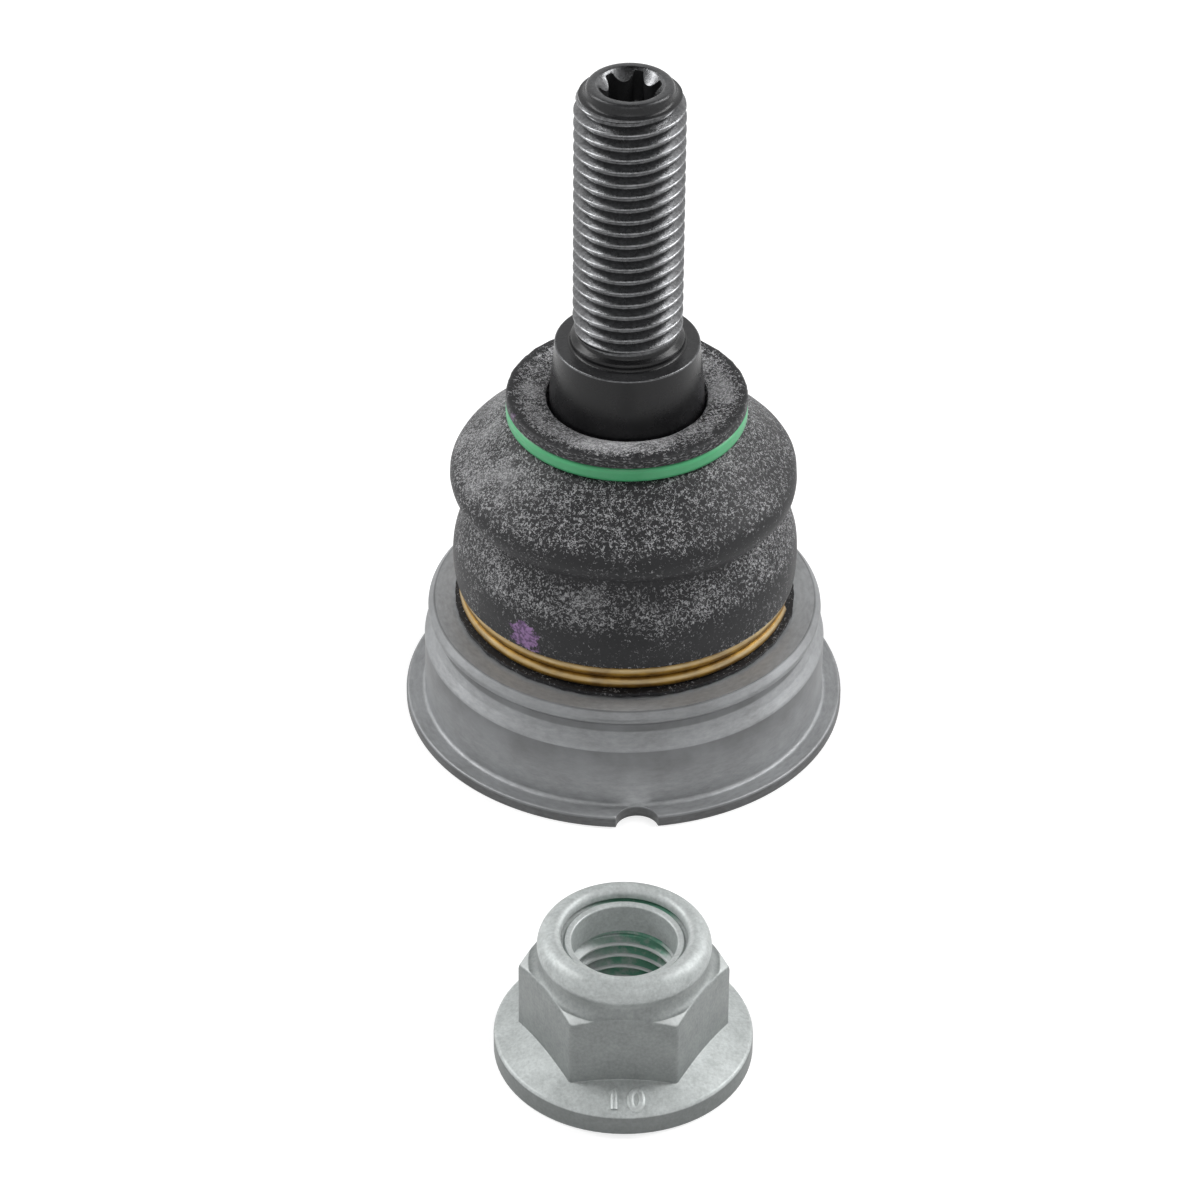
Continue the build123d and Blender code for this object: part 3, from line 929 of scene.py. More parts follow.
# %% Boot outlines
ROW_STEP = 0.45


def line(*points):
    """Straight runs through the points, with a row every half millimetre or so."""
    run = [points[0]]
    for (x0, z0), (x1, z1) in zip(points, points[1:]):
        count = max(1, ceil(dist((x0, z0), (x1, z1)) / ROW_STEP))
        run += [
            (x0 + (x1 - x0) * k / count, z0 + (z1 - z0) * k / count) for k in range(1, count + 1)
        ]
    return run


def rubber_arc(centre, radius, start, end):
    return arc(centre, radius, start, end, step=min(ROW_STEP / radius, radians(14)))


def lower_half_outline():
    """From the foot up the outside to the fold, and down the inside."""
    low_start = -asin((lower_bulge_z - boot_groove_top_z) / lower_bulge_arc)
    inner_arc = lower_bulge_arc - boot_wall
    inner_start = -asin((lower_bulge_z - neck_bead_z - boot_gap) / inner_arc)
    groove_edge = on_circle(low_centre, lower_bulge_arc, low_start)[0] - 0.35
    edge = 0.25
    return (
        line((boot_seat_radius, boot_foot_z), (boot_foot_radius - edge, boot_foot_z))
        + rubber_arc((boot_foot_radius - edge, boot_foot_z + edge), edge, -pi / 2, 0)
        + line((boot_foot_radius, boot_foot_top_z), (boot_groove_radius, boot_foot_top_z + 0.05))
        + line((boot_groove_radius, boot_groove_top_z), (groove_edge, boot_groove_top_z + 0.02))
        + rubber_arc(low_centre, lower_bulge_arc, low_start + 0.02, fold_low)
        + rubber_arc(fold, fold_arc, fold_low + pi, pi)
        + rubber_arc(fold, fold_arc + boot_wall, pi, fold_low + pi)
        + rubber_arc(low_centre, inner_arc, fold_low, inner_start)
        + line((boot_seat_radius, neck_bead_z - 0.55), (boot_seat_radius, boot_foot_z))
    )


def upper_half_outline():
    """From the fold up the outside to the mouth, down the bore and back inside."""
    inner_arc = upper_bulge_arc - boot_wall
    edge = 0.45
    lip_z = mouth_lip_z - edge
    return (
        rubber_arc(fold, fold_arc, pi, fold_high + pi)
        + rubber_arc(high_centre, upper_bulge_arc, fold_high, cone_angle)
        + line(
            on_circle(high_centre, upper_bulge_arc, cone_angle),
            shoulder,
            (mouth_groove_radius, mouth_ring_low_z - boot_gap),
            (mouth_groove_radius, mouth_groove_top_z),
            (mouth_lip_radius - 0.1, mouth_groove_top_z),
            (mouth_lip_radius, mouth_groove_top_z + 0.1),
        )[1:]
        + rubber_arc((mouth_lip_radius - edge, lip_z), edge, 0, pi / 2)
        + line(
            (mouth_lip_radius - edge - 0.3, mouth_lip_z),
            (boot_bore + 0.65, mouth_lip_z - mouth_dish),
            (boot_bore + 0.3, mouth_lip_z - mouth_dish - 0.2),
            (boot_bore, mouth_lip_z - mouth_dish - 1.0),
            (boot_bore, throat_z),
            on_circle(shoulder, -boot_wall, cone_angle),
        )
        + rubber_arc(high_centre, inner_arc, cone_angle, fold_high)
        + rubber_arc(fold, fold_arc + boot_wall, fold_high + pi, pi)
    )


lower_outline = lower_half_outline()
upper_outline = upper_half_outline()
print(len(lower_outline), "and", len(upper_outline), "rows in the boot's halves")

# %% Boot unevenness and bloom zones
# A zone of bloom: its lowest and highest point, how softly it ends, and how much it adds.
bloom_zones = (
    (23.6, 26.4, 1.4, 0.3),
    (33.5, 38.0, 1.5, 0.14),
    (28.0, 31.6, 1.2, -0.3),
    (18.4, 21.2, 1.4, -0.3),
    (17.6, 17.9, 0.3, 0.3),
    (0.0, 15.0, 1.0, -0.3),
)
bloom_base = 0.4
# How far apart the waves in the rubber's surface lie, and how high they are.
SLOW_WAVE, SLOW_PUSH = 9.0, 0.22
FINE_WAVE, FINE_PUSH = 2.6, 0.035
BULGE_LEAN = 0.3
TRIM_ROUGHNESS = (0.8, 2.0, 3)


def bump_zone(value, low, high, soft):
    """1 between two heights, easing to 0 over soft on either side."""
    return smooth((value - low) / soft + 1) * smooth((high - value) / soft + 1)


def settle(place):
    """How far a point of the boot is pushed off its ideal place, in mm."""
    x, y, z = place
    radius = hypot(x, y)
    outward = Vector((x, y, 0)).normalized()
    free = bump_zone(z, 20.5, 36.0, 2.0)
    slow = noise.noise(Vector((x, y, z)) / SLOW_WAVE) * SLOW_PUSH * free
    fine = noise.noise(Vector((x, y, z)) / FINE_WAVE + Vector((7, 3, 1))) * FINE_PUSH
    push = outward * (slow + fine * free)
    push.x -= BULGE_LEAN * bump_zone(z, 31.0, 35.5, 3.0)
    if z < boot_foot_top_z + 0.1 and radius > boot_foot_radius - 0.6:
        ragged = noise.fractal(Vector((x, y, 0)) / 1.6, *TRIM_ROUGHNESS)
        push += outward * (0.16 * ragged - 0.05)
    if z > mouth_groove_top_z + 0.3:
        push.z += 0.05 * noise.noise(Vector((x, y, z)) / 3.0)
        rim = smooth((radius - mouth_lip_radius + 0.8) / 0.6)
        push += outward * rim * 0.09 * noise.fractal(Vector((x, y, 0)) / 1.3, *TRIM_ROUGHNESS)
    return push


def bloom_at(place):
    """How much pale bloom lies at a point of the boot, about 0 to 1."""
    x, y, z = place
    radius = hypot(x, y)
    left = smooth((-x - 4) / 12)
    mouth = bump_zone(z, mouth_groove_top_z + 0.4, 50.0, 0.3)
    cover = bloom_base
    cover += mouth * (0.52 * smooth((13.2 - radius) / 2.4) - 0.34 * smooth((radius - 12.2) / 0.6))
    for low, high, soft, amount in bloom_zones:
        cover += amount * bump_zone(z, low, high, soft)
    cover += 0.3 * left * bump_zone(z, 30.0, 37.0, 1.5)
    cover += 0.3 * noise.noise(Vector((x, y, z)) / 5.0)
    cover += 0.14 * noise.noise(Vector((x, y, z)) / 2.2)
    return cover


def rubber_piece(name, outline):
    """Turns an outline into rubber: settled points, with bloom and rest places stored."""
    piece = skin(name, [(x, z, 0.0) for x, z in outline], even_turn(220))
    mesh = piece.data
    places, cover, lip = [], [], []
    for vertex in mesh.vertices:
        place = vertex.co / MM
        places += place[:]
        on_lip = place.z > mouth_groove_top_z and hypot(place.x, place.y) > mouth_lip_radius - 0.15
        cover.append(bloom_at(place) - 0.5 * on_lip)
        lip.append(float(on_lip))
        vertex.co = (place + settle(place)) * MM
    mesh.attributes.new("rest_place", "FLOAT_VECTOR", "POINT").data.foreach_set("vector", places)
    mesh.attributes.new("bloom", "FLOAT", "POINT").data.foreach_set("value", cover)
    mesh.attributes.new("lip_side", "FLOAT", "POINT").data.foreach_set("value", lip)
    mesh.update()
    mesh.materials.append(rubber)
    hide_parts("boot")
    return piece


lower_boot = rubber_piece("boot_lower_half", lower_outline + lower_outline[:1])
upper_boot = rubber_piece("boot_upper_half", upper_outline + upper_outline[:1])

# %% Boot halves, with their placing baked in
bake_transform(lower_boot)
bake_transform(upper_boot)

# %% [markdown]
# ## The wire ring
#
# The foot is clamped by two turns of spring wire, zinc-plated and passivated yellow. The wire
# runs flat for most of a turn, climbs by its own thickness, and runs flat again, so its two ends
# lie apart. A curve with a bevel would do, but its ends would be open or flat-capped by a
# modifier. A grid of small circles along the path gives ends with a sheared, slightly rounded
# edge.

# %% Yellow passivated wire
WIRE_DARK = to_linear("#6a4c1e")
WIRE_LIGHT = to_linear("#97742f")
# Painted highlight: a pale line along the upper outer side of each turn, broken up by the drawing
# marks.
WIRE_PAINTED_HIGHLIGHT = to_linear("#cfc09c")
DRAW_MARK = 0.3
WIRE_PATCH = 2.0


def passivated_wire():
    material, tree, shader = new_material("passivated_spring_steel")
    place = place_in_mm(tree)
    mark_place = turned_place(tree, place, along=0.5)
    marks = add(tree, "TexNoise", {
        "Vector": mark_place, "Scale": 1 / DRAW_MARK, "Detail": 3.0, "Roughness": 0.6,
    })
    patches = add(tree, "TexNoise", {
        "Vector": place, "Scale": 1 / WIRE_PATCH, "Detail": 4.0, "Roughness": 0.6,
    })
    spread = add(tree, "MapRange", (patches, 0.35, 0.62))
    tone = add(tree, "Mix", {0: spread, MIX_A: WIRE_DARK, MIX_B: WIRE_LIGHT}, **AS_COLOUR)
    stored_wear_and_light = add(tree, "Attribute", {}, "Fac", attribute_name="wear_and_painted_light")
    # The painted highlight line shows where the stored value is high, broken up by the marks.
    rubbed_and_highlight = add(tree, "Math", (stored_wear_and_light, marks), operation="MULTIPLY")
    connect(tree, shader, {
        "Base Color": add(tree, "Mix", {0: rubbed_and_highlight, MIX_A: tone, MIX_B: WIRE_PAINTED_HIGHLIGHT}, **AS_COLOUR),
        "Metallic": 0.8,
        "Roughness": 0.5,
        "Normal": add(tree, "Bump", {"Height": marks, "Strength": 0.3, "Distance": 0.03 * MM}),
    })
    return material


wire_finish = passivated_wire()
print("made", wire_finish.name)

# %% Wire ring
wire_radius = 0.74
wire_pitch = 1.5
wire_ring_radius = 17.9
wire_low_z = 15.15
wire_start = radians(-14)
low_turn = radians(320)
crossover = radians(36)
high_turn = radians(290)
wire_step = radians(2.5)
wire_sides = 28
wire_edge = 0.12


def wire_point(travelled):
    """Angle and height of the wire's middle after so much of its run, wound clockwise."""
    climbed = smooth((travelled - low_turn) / crossover)
    return wire_start - travelled, wire_low_z + wire_pitch * float(climbed)


def wire_grid():
    """Rings of points along the wire, with a rounded edge and a flat face at each end."""
    run = low_turn + crossover + high_turn
    edge = wire_edge / wire_ring_radius
    stations = [(0.0, 0.0), (0.0, wire_radius - wire_edge)]
    stations += [(edge * 0.3, wire_radius - wire_edge * 0.3), (edge, wire_radius)]
    steps = ceil(run / wire_step)
    stations += [(run * k / steps, wire_radius) for k in range(1, steps)]
    stations += [(run - travelled, size) for travelled, size in stations[3::-1]]
    around = np.linspace(0, 2 * pi, wire_sides + 1)
    points, wear_and_painted_light = [], []
    for travelled, size in stations:
        angle, height = wire_point(travelled)
        reach = wire_ring_radius + size * np.cos(around)
        points.append(
            np.stack(
                [reach * cos(angle), reach * sin(angle), height + size * np.sin(around)], -1
            )
        )
        # A pale painted highlight line along the upper outer side of the wire.
        wear_and_painted_light.append(smooth((np.cos(around - radians(25)) - 0.93) / 0.07))
    return np.array(points), np.array(wear_and_painted_light)


wire_points, wire_highlight_line = wire_grid()
wire_ring = grid_object("boot_foot_wire_ring", wire_points, wire_highlight_line)
wire_ring.data.materials.append(wire_finish)
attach(wire_ring, "housing")
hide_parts("lower_clamp_ring")

# %% [markdown]
# ## The green ring
#
# The mouth is held by a moulded ring of green polyamide. Nylon is slightly milky, so light
# enters a little way and its shadows stay coloured: a touch of subsurface does that. The tool
# was polished, so the ring has a soft, clean highlight.

# %% Green polyamide
NYLON_GREEN = to_linear("#45ad72")
NYLON_PALE = to_linear("#60c68b")


def green_polyamide():
    material, tree, shader = new_material("green_polyamide")
    place = place_in_mm(tree)
    clouds = add(tree, "TexNoise", {
        "Vector": place, "Scale": 0.3, "Detail": 3.0, "Roughness": 0.6,
    })
    dust = add(tree, "TexNoise", {"Vector": place, "Scale": 3.0, "Detail": 3.0, "Roughness": 0.7})
    tone = add(tree, "Mix", {0: clouds, MIX_A: NYLON_GREEN, MIX_B: NYLON_PALE}, **AS_COLOUR)
    connect(tree, shader, {
        "Base Color": tone,
        "Roughness": add(tree, "MapRange", (dust, 0.3, 0.7, 0.28, 0.45)),
        "Normal": add(tree, "Bump", {"Height": dust, "Strength": 0.15, "Distance": 0.03 * MM}),
        "IOR": 1.53,
        "Subsurface Weight": 0.15,
        "Subsurface Radius": (0.3, 0.8, 0.4),
        "Subsurface Scale": 0.5 * MM,
    })
    return material


nylon = green_polyamide()
mouth_ring_inner = mouth_groove_radius + boot_gap
mouth_ring = skin(
    "boot_mouth_ring",
    soften(
        [
            (mouth_ring_inner, mouth_ring_low_z, 0.1),
            (mouth_ring_radius, mouth_ring_low_z, 0.55),
            (mouth_ring_radius, mouth_ring_high_z, 0.55),
            (mouth_ring_inner, mouth_ring_high_z, 0.1),
        ]
    ),
    even_turn(200),
)
mouth_ring.data.materials.append(nylon)
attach(mouth_ring, "boot_mouth")
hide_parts("upper_clamp_ring")

# %% [markdown]
# ## Finish: zinc flake
#
# The nut is dipped in zinc flakes bound in a clear coat and spun dry. That gives an even, matt,
# slightly green silver that hides the forging's skin but keeps its softness. It is neither bare
# metal nor paint, so it is a third metallic with a high roughness. The flakes are a few
# hundredths of a millimetre, and the mottle is drawn at 0.35 mm. The upright walls, the flange's
# edge, the waist and the collar's foot carry painted shade: there the stored value is below 0.
# The crescents at the hexagon's corners carry painted highlight. A patch of green thread lock
# lies on one side of the bore.

# %% Zinc flake
ZINC_DARK = to_linear("#acb1b0")
ZINC_LIGHT = to_linear("#cdd2d1")
# Light zinc for rubbed seams, and for the painted highlight on the crescents.
ZINC_WORN_AND_HIGHLIGHT = to_linear("#e2e5e4")
# Painted shade: dark zinc laid on the upright walls, the flange's edge, the waist and the collar's
# foot.
ZINC_PAINTED_SHADE = to_linear("#4f5352")
LOCK_GREEN = to_linear("#449877")
MOTTLE_SIZE = 0.35
nut_low, nut_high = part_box("flange_nut")
nut_y = (nut_low.y + nut_high.y) / 2 / MM
nut_flange_radius = (nut_high.x - nut_low.x) / 2 / MM


def zinc_flake(name, green_from, green_to):
    """The coating, with green where the radius lies between two values on the far side."""
    material, tree, shader = new_material(name)
    place = place_in_mm(tree, centre=(0.0, nut_y))
    mottle = add(tree, "TexNoise", {
        "Vector": place, "Scale": 1 / MOTTLE_SIZE, "Detail": 3.0, "Roughness": 0.6,
    })
    clouds = add(tree, "TexNoise", {
        "Vector": place, "Scale": 0.45, "Detail": 5.0, "Roughness": 0.65,
    })
    both = add(tree, "Math", (clouds, mottle), operation="ADD")
    spread = add(tree, "MapRange", (both, 0.72, 1.28))
    stored_wear_and_light = add(tree, "Attribute", {}, "Fac", attribute_name="wear_and_painted_light")
    # Stored values below 0 mix in painted shade.
    painted_wall_shade = add(tree, "Math", (stored_wear_and_light, -1.0), operation="MULTIPLY")
    tone = add(tree, "Mix", {0: spread, MIX_A: ZINC_DARK, MIX_B: ZINC_LIGHT}, **AS_COLOUR)
    tone = add(tree, "Mix", {0: painted_wall_shade, MIX_A: tone, MIX_B: ZINC_PAINTED_SHADE}, **AS_COLOUR)
    # Rubbed seams, and the painted highlight on the crescents, turn light here.
    with_wear_and_highlight = add(tree, "Mix", {0: stored_wear_and_light, MIX_A: tone, MIX_B: ZINC_WORN_AND_HIGHLIGHT}, **AS_COLOUR)
    parts = add(tree, "SeparateXYZ", {0: turned_place(tree, place, along=1.0)}).node.outputs
    mask = 1.0
    for value, low, high, to_low, to_high in (
        (parts["X"], green_from, green_from + 0.08, 0.0, 1.0),
        (parts["X"], green_to, green_to + 0.08, 1.0, 0.0),
        (parts["Z"], 0.5, 0.8, 0.0, 1.0),
        (parts["Z"], 1.7, 2.3, 1.0, 0.0),
        (clouds, 0.3, 0.5, 0.0, 0.8),
    ):
        zone = add(tree, "MapRange", (value, low, high, to_low, to_high))
        mask = add(tree, "Math", (mask, zone), operation="MULTIPLY")
    connect(tree, shader, {
        "Base Color": add(tree, "Mix", {0: mask, MIX_A: with_wear_and_highlight, MIX_B: LOCK_GREEN}, **AS_COLOUR),
        "Metallic": 0.3,
        "Roughness": 0.48,
        "Normal": add(tree, "Bump", {"Height": mottle, "Strength": 0.35, "Distance": 0.04 * MM}),
    })
    return material


nut_finish = zinc_flake("zinc_flake_coating", green_from=5.36, green_to=6.15)
print("made", nut_finish.name)

# %% [markdown]
# ## The flange nut
#
# The nut was forged: a cone-shaped flange, a hexagon for a 19 mm spanner, and a collar that was
# rolled over to trap the locking ring. In rows round the axis, the hexagon is a radius that
# waves six times. Where the flat wall meets the flange's cone and the crown's cone, the height
# follows from that radius, and those meeting lines are the arches and crescents that make a nut
# look like a nut.

# %% Hexagon and nut rows
SIDES = 6
across_flats = 19.0
hex_rounding = 0.55
nut_flange_edge = 2.5
nut_cone_slope = 0.4
nut_crown_z = 12.0
nut_crown_radius = 9.92
nut_waist_radius = 8.8
nut_bulge_radius = 1.7
nut_crest_radius = 7.3
nut_lip_rounding = 0.7
# Painted shade amounts for the hexagon's walls, the flange's edge, the waist and the collar's
# foot.
WALL_PAINTED_SHADE = -0.56
FLANGE_EDGE_PAINTED_SHADE = WALL_PAINTED_SHADE - 0.15
WAIST_PAINTED_SHADE = -0.5
COLLAR_FOOT_PAINTED_SHADE = -0.3
# Painted highlight on the crescents where the hexagon's corners meet the crown's cone.
CRESCENT_PAINTED_HIGHLIGHT = 0.9
SEAM_WEAR = 0.1
nut_lip_radius = 6.55
nut_bore_radius = 5.19
nut_pocket_radius = 7.23
nut_top_z = nut_high.z / MM
lock_ring_low_z, lock_ring_high_z = (corner.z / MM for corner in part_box("nut_locking_ring"))


def hex_outline():
    """Angle and radius at points round a hexagon with rounded corners, one flat to the front."""
    flat = across_flats / 2
    corner = flat / cos(pi / SIDES)
    centre = corner - hex_rounding / cos(pi / SIDES)
    half_flat = centre * sin(pi / SIDES)
    turn, reach = [], []
    for side in range(SIDES):
        facing = side * 2 * pi / SIDES + pi / SIDES
        for share in np.linspace(-1, 1, 15):
            turn.append(facing + atan2(share * half_flat, flat))
            reach.append(hypot(share * half_flat, flat))
        for angle in np.linspace(-pi / SIDES, pi / SIDES, 9)[1:-1]:
            x, y = on_circle((centre, 0.0), hex_rounding, angle)
            turn.append(facing + pi / SIDES + atan2(y, x))
            reach.append(hypot(x, y))
    turn.append(turn[0] + 2 * pi)
    reach.append(reach[0])
    return np.array(turn), np.array(reach)


def shoulder_height(radius):
    """Height of the nut's shoulder: the crown's cone outside, and a hollow up to the waist."""
    hollow = nut_crown_radius - nut_waist_radius
    crown_low_z = nut_crown_z - (nut_crown_radius - across_flats / 2) * tan(radians(30))
    inside = np.clip(nut_crown_radius - radius, 0, hollow)
    outside = np.clip(radius - nut_crown_radius, 0, None)
    rise = hollow - np.sqrt(hollow**2 - inside**2)
    return crown_low_z + rise - outside * tan(radians(30))


def hexagon_rows(reach):
    """The flange's cone, the hexagon's wall and its shoulder, up to the waist."""
    cone = nut_flange_edge + (nut_flange_radius - reach) * nut_cone_slope
    root = 0.05
    top = shoulder_height(reach)
    rows = [(reach + root * s, cone - root * s * nut_cone_slope, 0.0) for s in (1.6, 1.0)]
    # The hexagon's walls carry painted shade.
    rows += [
        (reach + root * 0.3, cone + root * 0.3, WALL_PAINTED_SHADE),
        (reach, cone + root, WALL_PAINTED_SHADE),
        (reach, cone + root * 1.6, WALL_PAINTED_SHADE),
        (reach, top - 0.55, WALL_PAINTED_SHADE),
        (reach - 0.02, top - 0.36, WALL_PAINTED_SHADE),
        (reach - 0.07, top - 0.19, WALL_PAINTED_SHADE),
        (reach - 0.14, top - 0.06, WALL_PAINTED_SHADE),
    ]
    for radius in np.linspace(11.0, nut_waist_radius, 30):
        inner = np.minimum(reach - 0.24, radius)
        # Past the crown's radius the crescents get painted highlight over the waist's painted
        # shade.
        crescent_highlight = smooth((inner - nut_crown_radius) / 0.1 + 1)
        rows.append((inner, shoulder_height(inner), WAIST_PAINTED_SHADE + CRESCENT_PAINTED_HIGHLIGHT * crescent_highlight))
    return rows


def nut_rows(turn, reach):
    """The whole nut, from the seat out and up, over the collar and down the bore."""
    flange = soften(
        [
            (0, 0, 0),
            (nut_flange_radius, 0, 0.35),
            (nut_flange_radius, nut_flange_edge, 0.55),
            (11.5, nut_flange_edge + (nut_flange_radius - 11.5) * nut_cone_slope, 0),
            (0, nut_flange_edge, 0),
        ]
    )
    # Painted shade on the flange's upright edge.
    flange = [(r, z, FLANGE_EDGE_PAINTED_SHADE if r > nut_flange_radius - 0.03 else 0.0) for r, z, _ in flange]
    bulge_centre = (nut_crest_radius, nut_top_z - nut_bulge_radius)
    bulge = arc(bulge_centre, nut_bulge_radius, radians(-28), pi / 2, radians(8))
    lip_centre = (nut_crest_radius, nut_top_z - nut_lip_rounding)
    lip = arc(lip_centre, nut_lip_rounding, pi / 2, pi, radians(12))
    lip_share = (nut_crest_radius - nut_lip_radius) / nut_lip_rounding
    # Painted shade at the foot of the collar's bulge, fading upwards.
    collar = [(x, z, COLLAR_FOOT_PAINTED_SHADE * smooth(1 - (z - bulge[0][1]) / 0.8)) for x, z in bulge]
    collar += [
        (nut_crest_radius + (x - nut_crest_radius) * lip_share, z, SEAM_WEAR) for x, z in lip[1:]
    ]
    collar += [
        (nut_lip_radius, lock_ring_high_z + 0.05, 0.0),
        (nut_lip_radius + 0.05, lock_ring_high_z, 0.0),
        (nut_pocket_radius, lock_ring_high_z, 0.0),
        (nut_pocket_radius, lock_ring_low_z, 0.0),
        (nut_bore_radius + 0.42, lock_ring_low_z, 0.0),
    ]
    beside = nut_bore_radius + 0.41
    thread = thread_rows(
        turn,
        crest=((0, 1), (nut_bore_radius, nut_bore_radius)),
        blank=((0, 1), (beside, beside)),
        ends=(0.9, lock_ring_low_z - 0.1),
        fades=(0.8, 0.8),
        seam=0.0,
        inward=-1,
    )
    seat = [(beside, 0.9, 0.0), (nut_bore_radius + 1.0, 0.0, 0.0)]
    outside = [row for row in flange if row[0] > 11.49]
    return seat + outside + hexagon_rows(reach) + collar + thread[::-1] + seat[:1]


nut_turn, nut_reach = hex_outline()
nut = skin("flange_nut_body", nut_rows(nut_turn, nut_reach), nut_turn, centre=(0.0, nut_y))
nut.data.materials.append(nut_finish)
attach(nut, "nut")
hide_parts("flange_nut")

# %% Locking ring
lock_finish = zinc_flake("polyamide_under_zinc_flake", green_from=6.1, green_to=7.3)
lock_rows = soften(
    [
        (5.45, lock_ring_low_z, 0.1),
        (7.2, lock_ring_low_z, 0.1),
        (7.2, lock_ring_high_z - 0.3, 0.1),
        (6.3, lock_ring_high_z - 0.3, 0.1),
        (6.1, lock_ring_high_z - 0.02, 0.1),
        (5.45, lock_ring_high_z - 0.12, 0.2),
    ]
)
lock_ring = skin(
    "nut_locking_insert", [(r, z, SEAM_WEAR) for r, z, _ in lock_rows], even_turn(144),
    centre=(0.0, nut_y),
)
lock_ring.data.materials.append(lock_finish)
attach(lock_ring, "nut")
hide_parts("nut_locking_ring")

# %% [markdown]
# ## The raised class number
#
# The forging die leaves a plain 10 on the flange: the strength class, which any nut maker uses.
# Each stroke is a half-sunk bead, and its points are laid on the flange's cone.

# %% Class number
bead_radius = 0.36
bead_height = 0.2
digit_height = 2.0
digit_middle = 11.65
one_x = -0.95
zero_x = 1.3


def on_flange(x, across):
    """A point on the flange's cone in front: x to the right, across towards the hexagon."""
    reach = digit_middle - across
    radius = hypot(x, reach)
    height = nut_flange_edge + (nut_flange_radius - radius) * nut_cone_slope
    return Vector((x, nut_y - reach, height))


def bead(name, path, closed):
    """A rounded stroke along points on the cone."""
    places = [on_flange(*point) for point in path]
    last = len(places) - 1
    sides = np.linspace(0, 2 * pi, 11)
    up = Vector((0, -nut_cone_slope, 1)).normalized()
    points = []
    for index, place in enumerate(places):
        before = places[index - 1] if closed or index else place
        after = places[(index + 1) % len(places)] if closed or index < last else place
        across = (after - before).normalized().cross(up).normalized()
        points.append([
            (place + across * bead_radius * cos(side) + up * bead_height * sin(side))[:]
            for side in sides
        ])
    if closed:
        points.append(points[0])
    else:
        points.insert(0, [places[0][:]] * len(sides))
        points.append([places[-1][:]] * len(sides))
    grid = np.array(points)
    piece = grid_object(name, grid, np.full(grid.shape[:2], SEAM_WEAR))
    piece.data.materials.append(nut_finish)
    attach(piece, "nut")
    return piece


half = digit_height / 2
one_path = [(one_x - 0.5, half - 0.4), (one_x - 0.25, half - 0.2), (one_x, half)]
one_path += [(one_x, half - digit_height * k / 8) for k in range(1, 9)]
zero_path = [
    (zero_x + 0.6 * cos(angle), half * sin(angle)) for angle in np.linspace(0, 2 * pi, 25)[:-1]
]
bead("nut_class_digit_one", one_path, closed=False)
bead("nut_class_digit_zero", zero_path, closed=True)

# %% [markdown]
# ## Finish: the pieces inside
#
# The ball runs between two races of acetal, a tough waxy plastic, and a pressed steel plate
# closes the housing below. Their shapes from the frame are right as they are, so they only need
# a finish: milky and soft for the races, and for the plate a grey that pressing has smeared
# outwards from its middle.

# %% Acetal and pressed steel
ACETAL_DARK = to_linear("#dcd9ce")
ACETAL_LIGHT = to_linear("#efece2")
PLATE_DARK = to_linear("#6b6e71")
PLATE_LIGHT = to_linear("#9a9da0")


def acetal():
    material, tree, shader = new_material("moulded_acetal")
    place = place_in_mm(tree)
    clouds = add(tree, "TexNoise", {"Vector": place, "Scale": 0.4, "Detail": 3.0})
    tone = add(tree, "Mix", {0: clouds, MIX_A: ACETAL_DARK, MIX_B: ACETAL_LIGHT}, **AS_COLOUR)
    connect(tree, shader, {
        "Base Color": tone,
        "Roughness": 0.38,
        "Normal": add(tree, "Bump", {"Height": clouds, "Strength": 0.2, "Distance": 0.05 * MM}),
        "IOR": 1.48,
        "Subsurface Weight": 0.1,
        "Subsurface Scale": 0.5 * MM,
    })
    return material


def pressed_steel():
    material, tree, shader = new_material("pressed_oiled_steel")
    place = place_in_mm(tree)
    grain = add(tree, "TexNoise", {
        "Vector": place, "Scale": 1.6, "Detail": 5.0, "Roughness": 0.65,
    })
    ring_place = turned_place(tree, place, along=2.0)
    rings = add(tree, "TexNoise", {"Vector": ring_place, "Scale": 1.5, "Detail": 3.0})
    tone = add(tree, "Mix", {0: grain, MIX_A: PLATE_DARK, MIX_B: PLATE_LIGHT}, **AS_COLOUR)
    connect(tree, shader, {
        "Base Color": tone,
        "Metallic": 1.0,
        "Roughness": add(tree, "MapRange", (rings, 0.0, 1.0, 0.28, 0.5)),
        "Normal": add(tree, "Bump", {"Height": rings, "Strength": 0.3, "Distance": 0.08 * MM}),
    })
    return material


def finish_node(name, material):
    """Gives a piece of the frame its finish."""
    mesh = frame["nodes"][name].data
    mesh.materials.clear()
    mesh.materials.append(material)


race_finish = acetal()
finish_node("upper_bearing_race", race_finish)
finish_node("lower_bearing_race", race_finish)
finish_node("cover_plate", pressed_steel())
print("races and cover plate finished")

# %% [markdown]
# ## Floor, light and camera
#
# The joint stands on a plain white sweep. The floor is ordinary matt white for shadows and
# bounce, and to the camera and to reflections it also glows a little, so that it reads as pure
# white while the shadow under the joint stays. Two tall soft boxes lean over the joint from the
# left and the right and draw the highlights on the stud, and a third in front lights the bevels.

# %% Floor
FLOOR_SIZE = 6.0
FLOOR_GLOW = 0.68
FLOOR_COLOUR = to_linear("#c0c0c0")
WHITE = to_linear("#ffffff")


def seen_directly(tree):
    """1 for the camera, mirror and glass rays, 0 for the light that falls on things."""
    path = add(tree, "LightPath", {}).node.outputs
    seen = path["Is Camera Ray"]
    for kind in ("Is Glossy Ray", "Is Transmission Ray"):
        seen = add(tree, "Math", (seen, path[kind]), operation="MAXIMUM")
    return seen


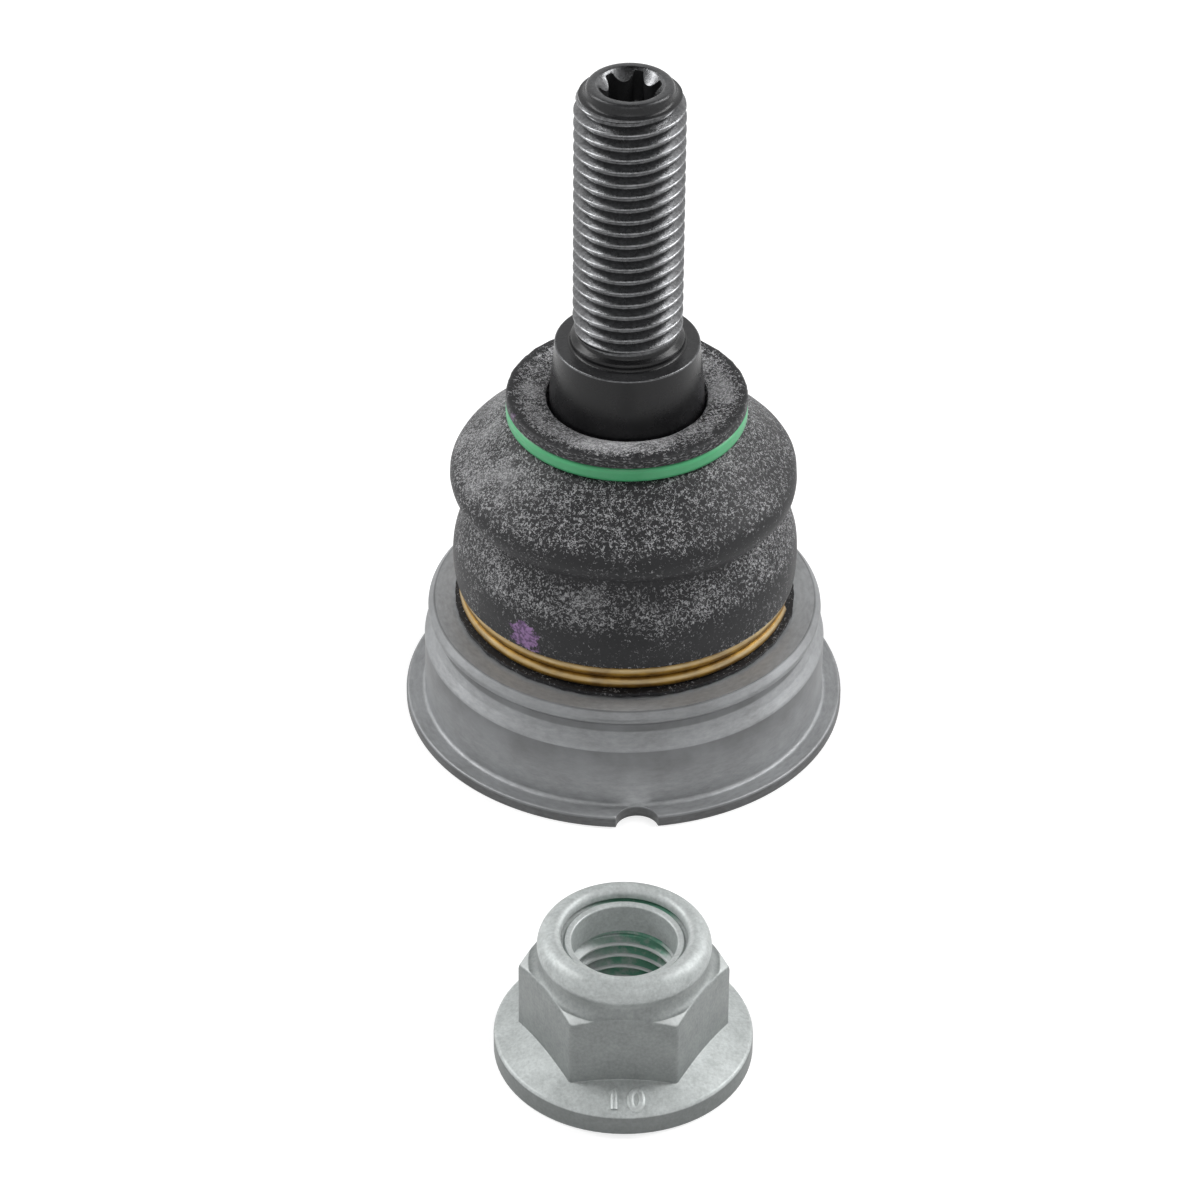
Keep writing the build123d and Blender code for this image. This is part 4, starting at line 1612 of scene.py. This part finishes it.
def white_sweep():
    material, tree, shader = new_material("white_paper")
    connect(tree, shader, {
        "Base Color": FLOOR_COLOUR, "Roughness": 0.9, "Specular IOR Level": 0.0,
    })
    strength = add(tree, "Math", (seen_directly(tree), FLOOR_GLOW), operation="MULTIPLY")
    glow = add(tree, "Emission", {"Color": WHITE, "Strength": strength})
    both = add(tree, "AddShader", {0: shader.outputs[0], 1: glow})
    connect(tree, tree.nodes["Material Output"], {"Surface": both})
    return material


bpy.ops.mesh.primitive_plane_add(size=FLOOR_SIZE, location=(0, 0, -0.02 * MM))
floor = bpy.context.object
floor.name = "white_floor"
floor.data.materials.append(white_sweep())
floor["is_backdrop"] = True
print("floor", FLOOR_SIZE, "m across")

# %% Lights
scene = bpy.context.scene
scene.view_settings.view_transform = "Standard"
WORLD_LIGHT = 0.3
WORLD_OVERHEAD = 0.02
BACKDROP_RISE = (0.66, 0.86)


def studio_world():
    """A dim world that shows itself white up to about 40 degrees, and dark overhead."""
    world = bpy.data.worlds.new("studio")
    world.use_nodes = True
    tree = world.node_tree
    direction = add(tree, "TexCoord", {}, "Generated")
    rise = add(tree, "SeparateXYZ", {0: direction}, "Z")
    backdrop = add(
        tree, "MapRange", (rise, *BACKDROP_RISE, 1.0, WORLD_OVERHEAD),
        interpolation_type="SMOOTHSTEP",
    )
    seen = seen_directly(tree)
    level = add(tree, "Mix", {0: seen, 2: WORLD_LIGHT, 3: backdrop}, data_type="FLOAT")
    connect(tree, tree.nodes["Background"], {"Strength": level, "Color": WHITE})
    return world


scene.world = studio_world()


def soft_box(name, location, width, height, power):
    """A rectangular lamp that faces the middle of the joint."""
    lamp = bpy.data.lights.new(name, "AREA")
    lamp.shape = "RECTANGLE"
    lamp.size = width
    lamp.size_y = height
    lamp.energy = power
    holder = bpy.data.objects.new(name, lamp)
    holder.location = location
    aim = Vector((0, 0, 0.03)) - Vector(location)
    holder.rotation_euler = aim.to_track_quat("-Z", "Y").to_euler()
    scene.collection.objects.link(holder)
    print(f"{name}: {power} W")
    return holder


soft_box("soft_box_left", (-0.64, 0.16, 0.58), 0.22, 0.8, 3.9)
soft_box("soft_box_right", (0.64, 0.16, 0.58), 0.24, 0.8, 4.9)
soft_box("soft_box_front", (0.0, -0.8, 0.78), 0.7, 0.4, 1.1)

# %% Camera
IMAGE = 1200
SENSOR = 36.0
LENS = 144.0
camera_place = Vector((-2.77, -434.35, 336.9)) * MM
camera_pitch = radians(36.725)
camera_roll = radians(0.44)

camera_data = bpy.data.cameras.new("camera")
camera_data.lens = LENS
camera_data.sensor_width = SENSOR
camera = bpy.data.objects.new("camera", camera_data)
camera.location = camera_place
level = Matrix.Rotation(pi / 2 - camera_pitch, 3, "X")
camera.rotation_euler = (level @ Matrix.Rotation(camera_roll, 3, "Z")).to_euler()
scene.collection.objects.link(camera)
scene.camera = camera
bpy.context.view_layer.update()


def on_image(place):
    """Where a point in mm lands in a square picture 1200 pixels across."""
    seen = camera.matrix_world.inverted() @ (Vector(place) * MM)
    scale = LENS / SENSOR * IMAGE / -seen.z
    return round(IMAGE / 2 + seen.x * scale, 1), round(IMAGE / 2 - seen.y * scale, 1)


print("foot of the axis:", on_image((0, 0, 0)), "top of the stud:", on_image((0, 0, stud_top_z)))

# %% [markdown]
# ## Measuring
#
# Last, the finished model's outer size is measured and printed.

# %% Size of the finished model
visual_low, visual_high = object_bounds()
sides = [(high - low) / MM for low, high in zip(visual_low, visual_high)]
print("finished model:", " x ".join(f"{side:.1f}" for side in sides), "mm")
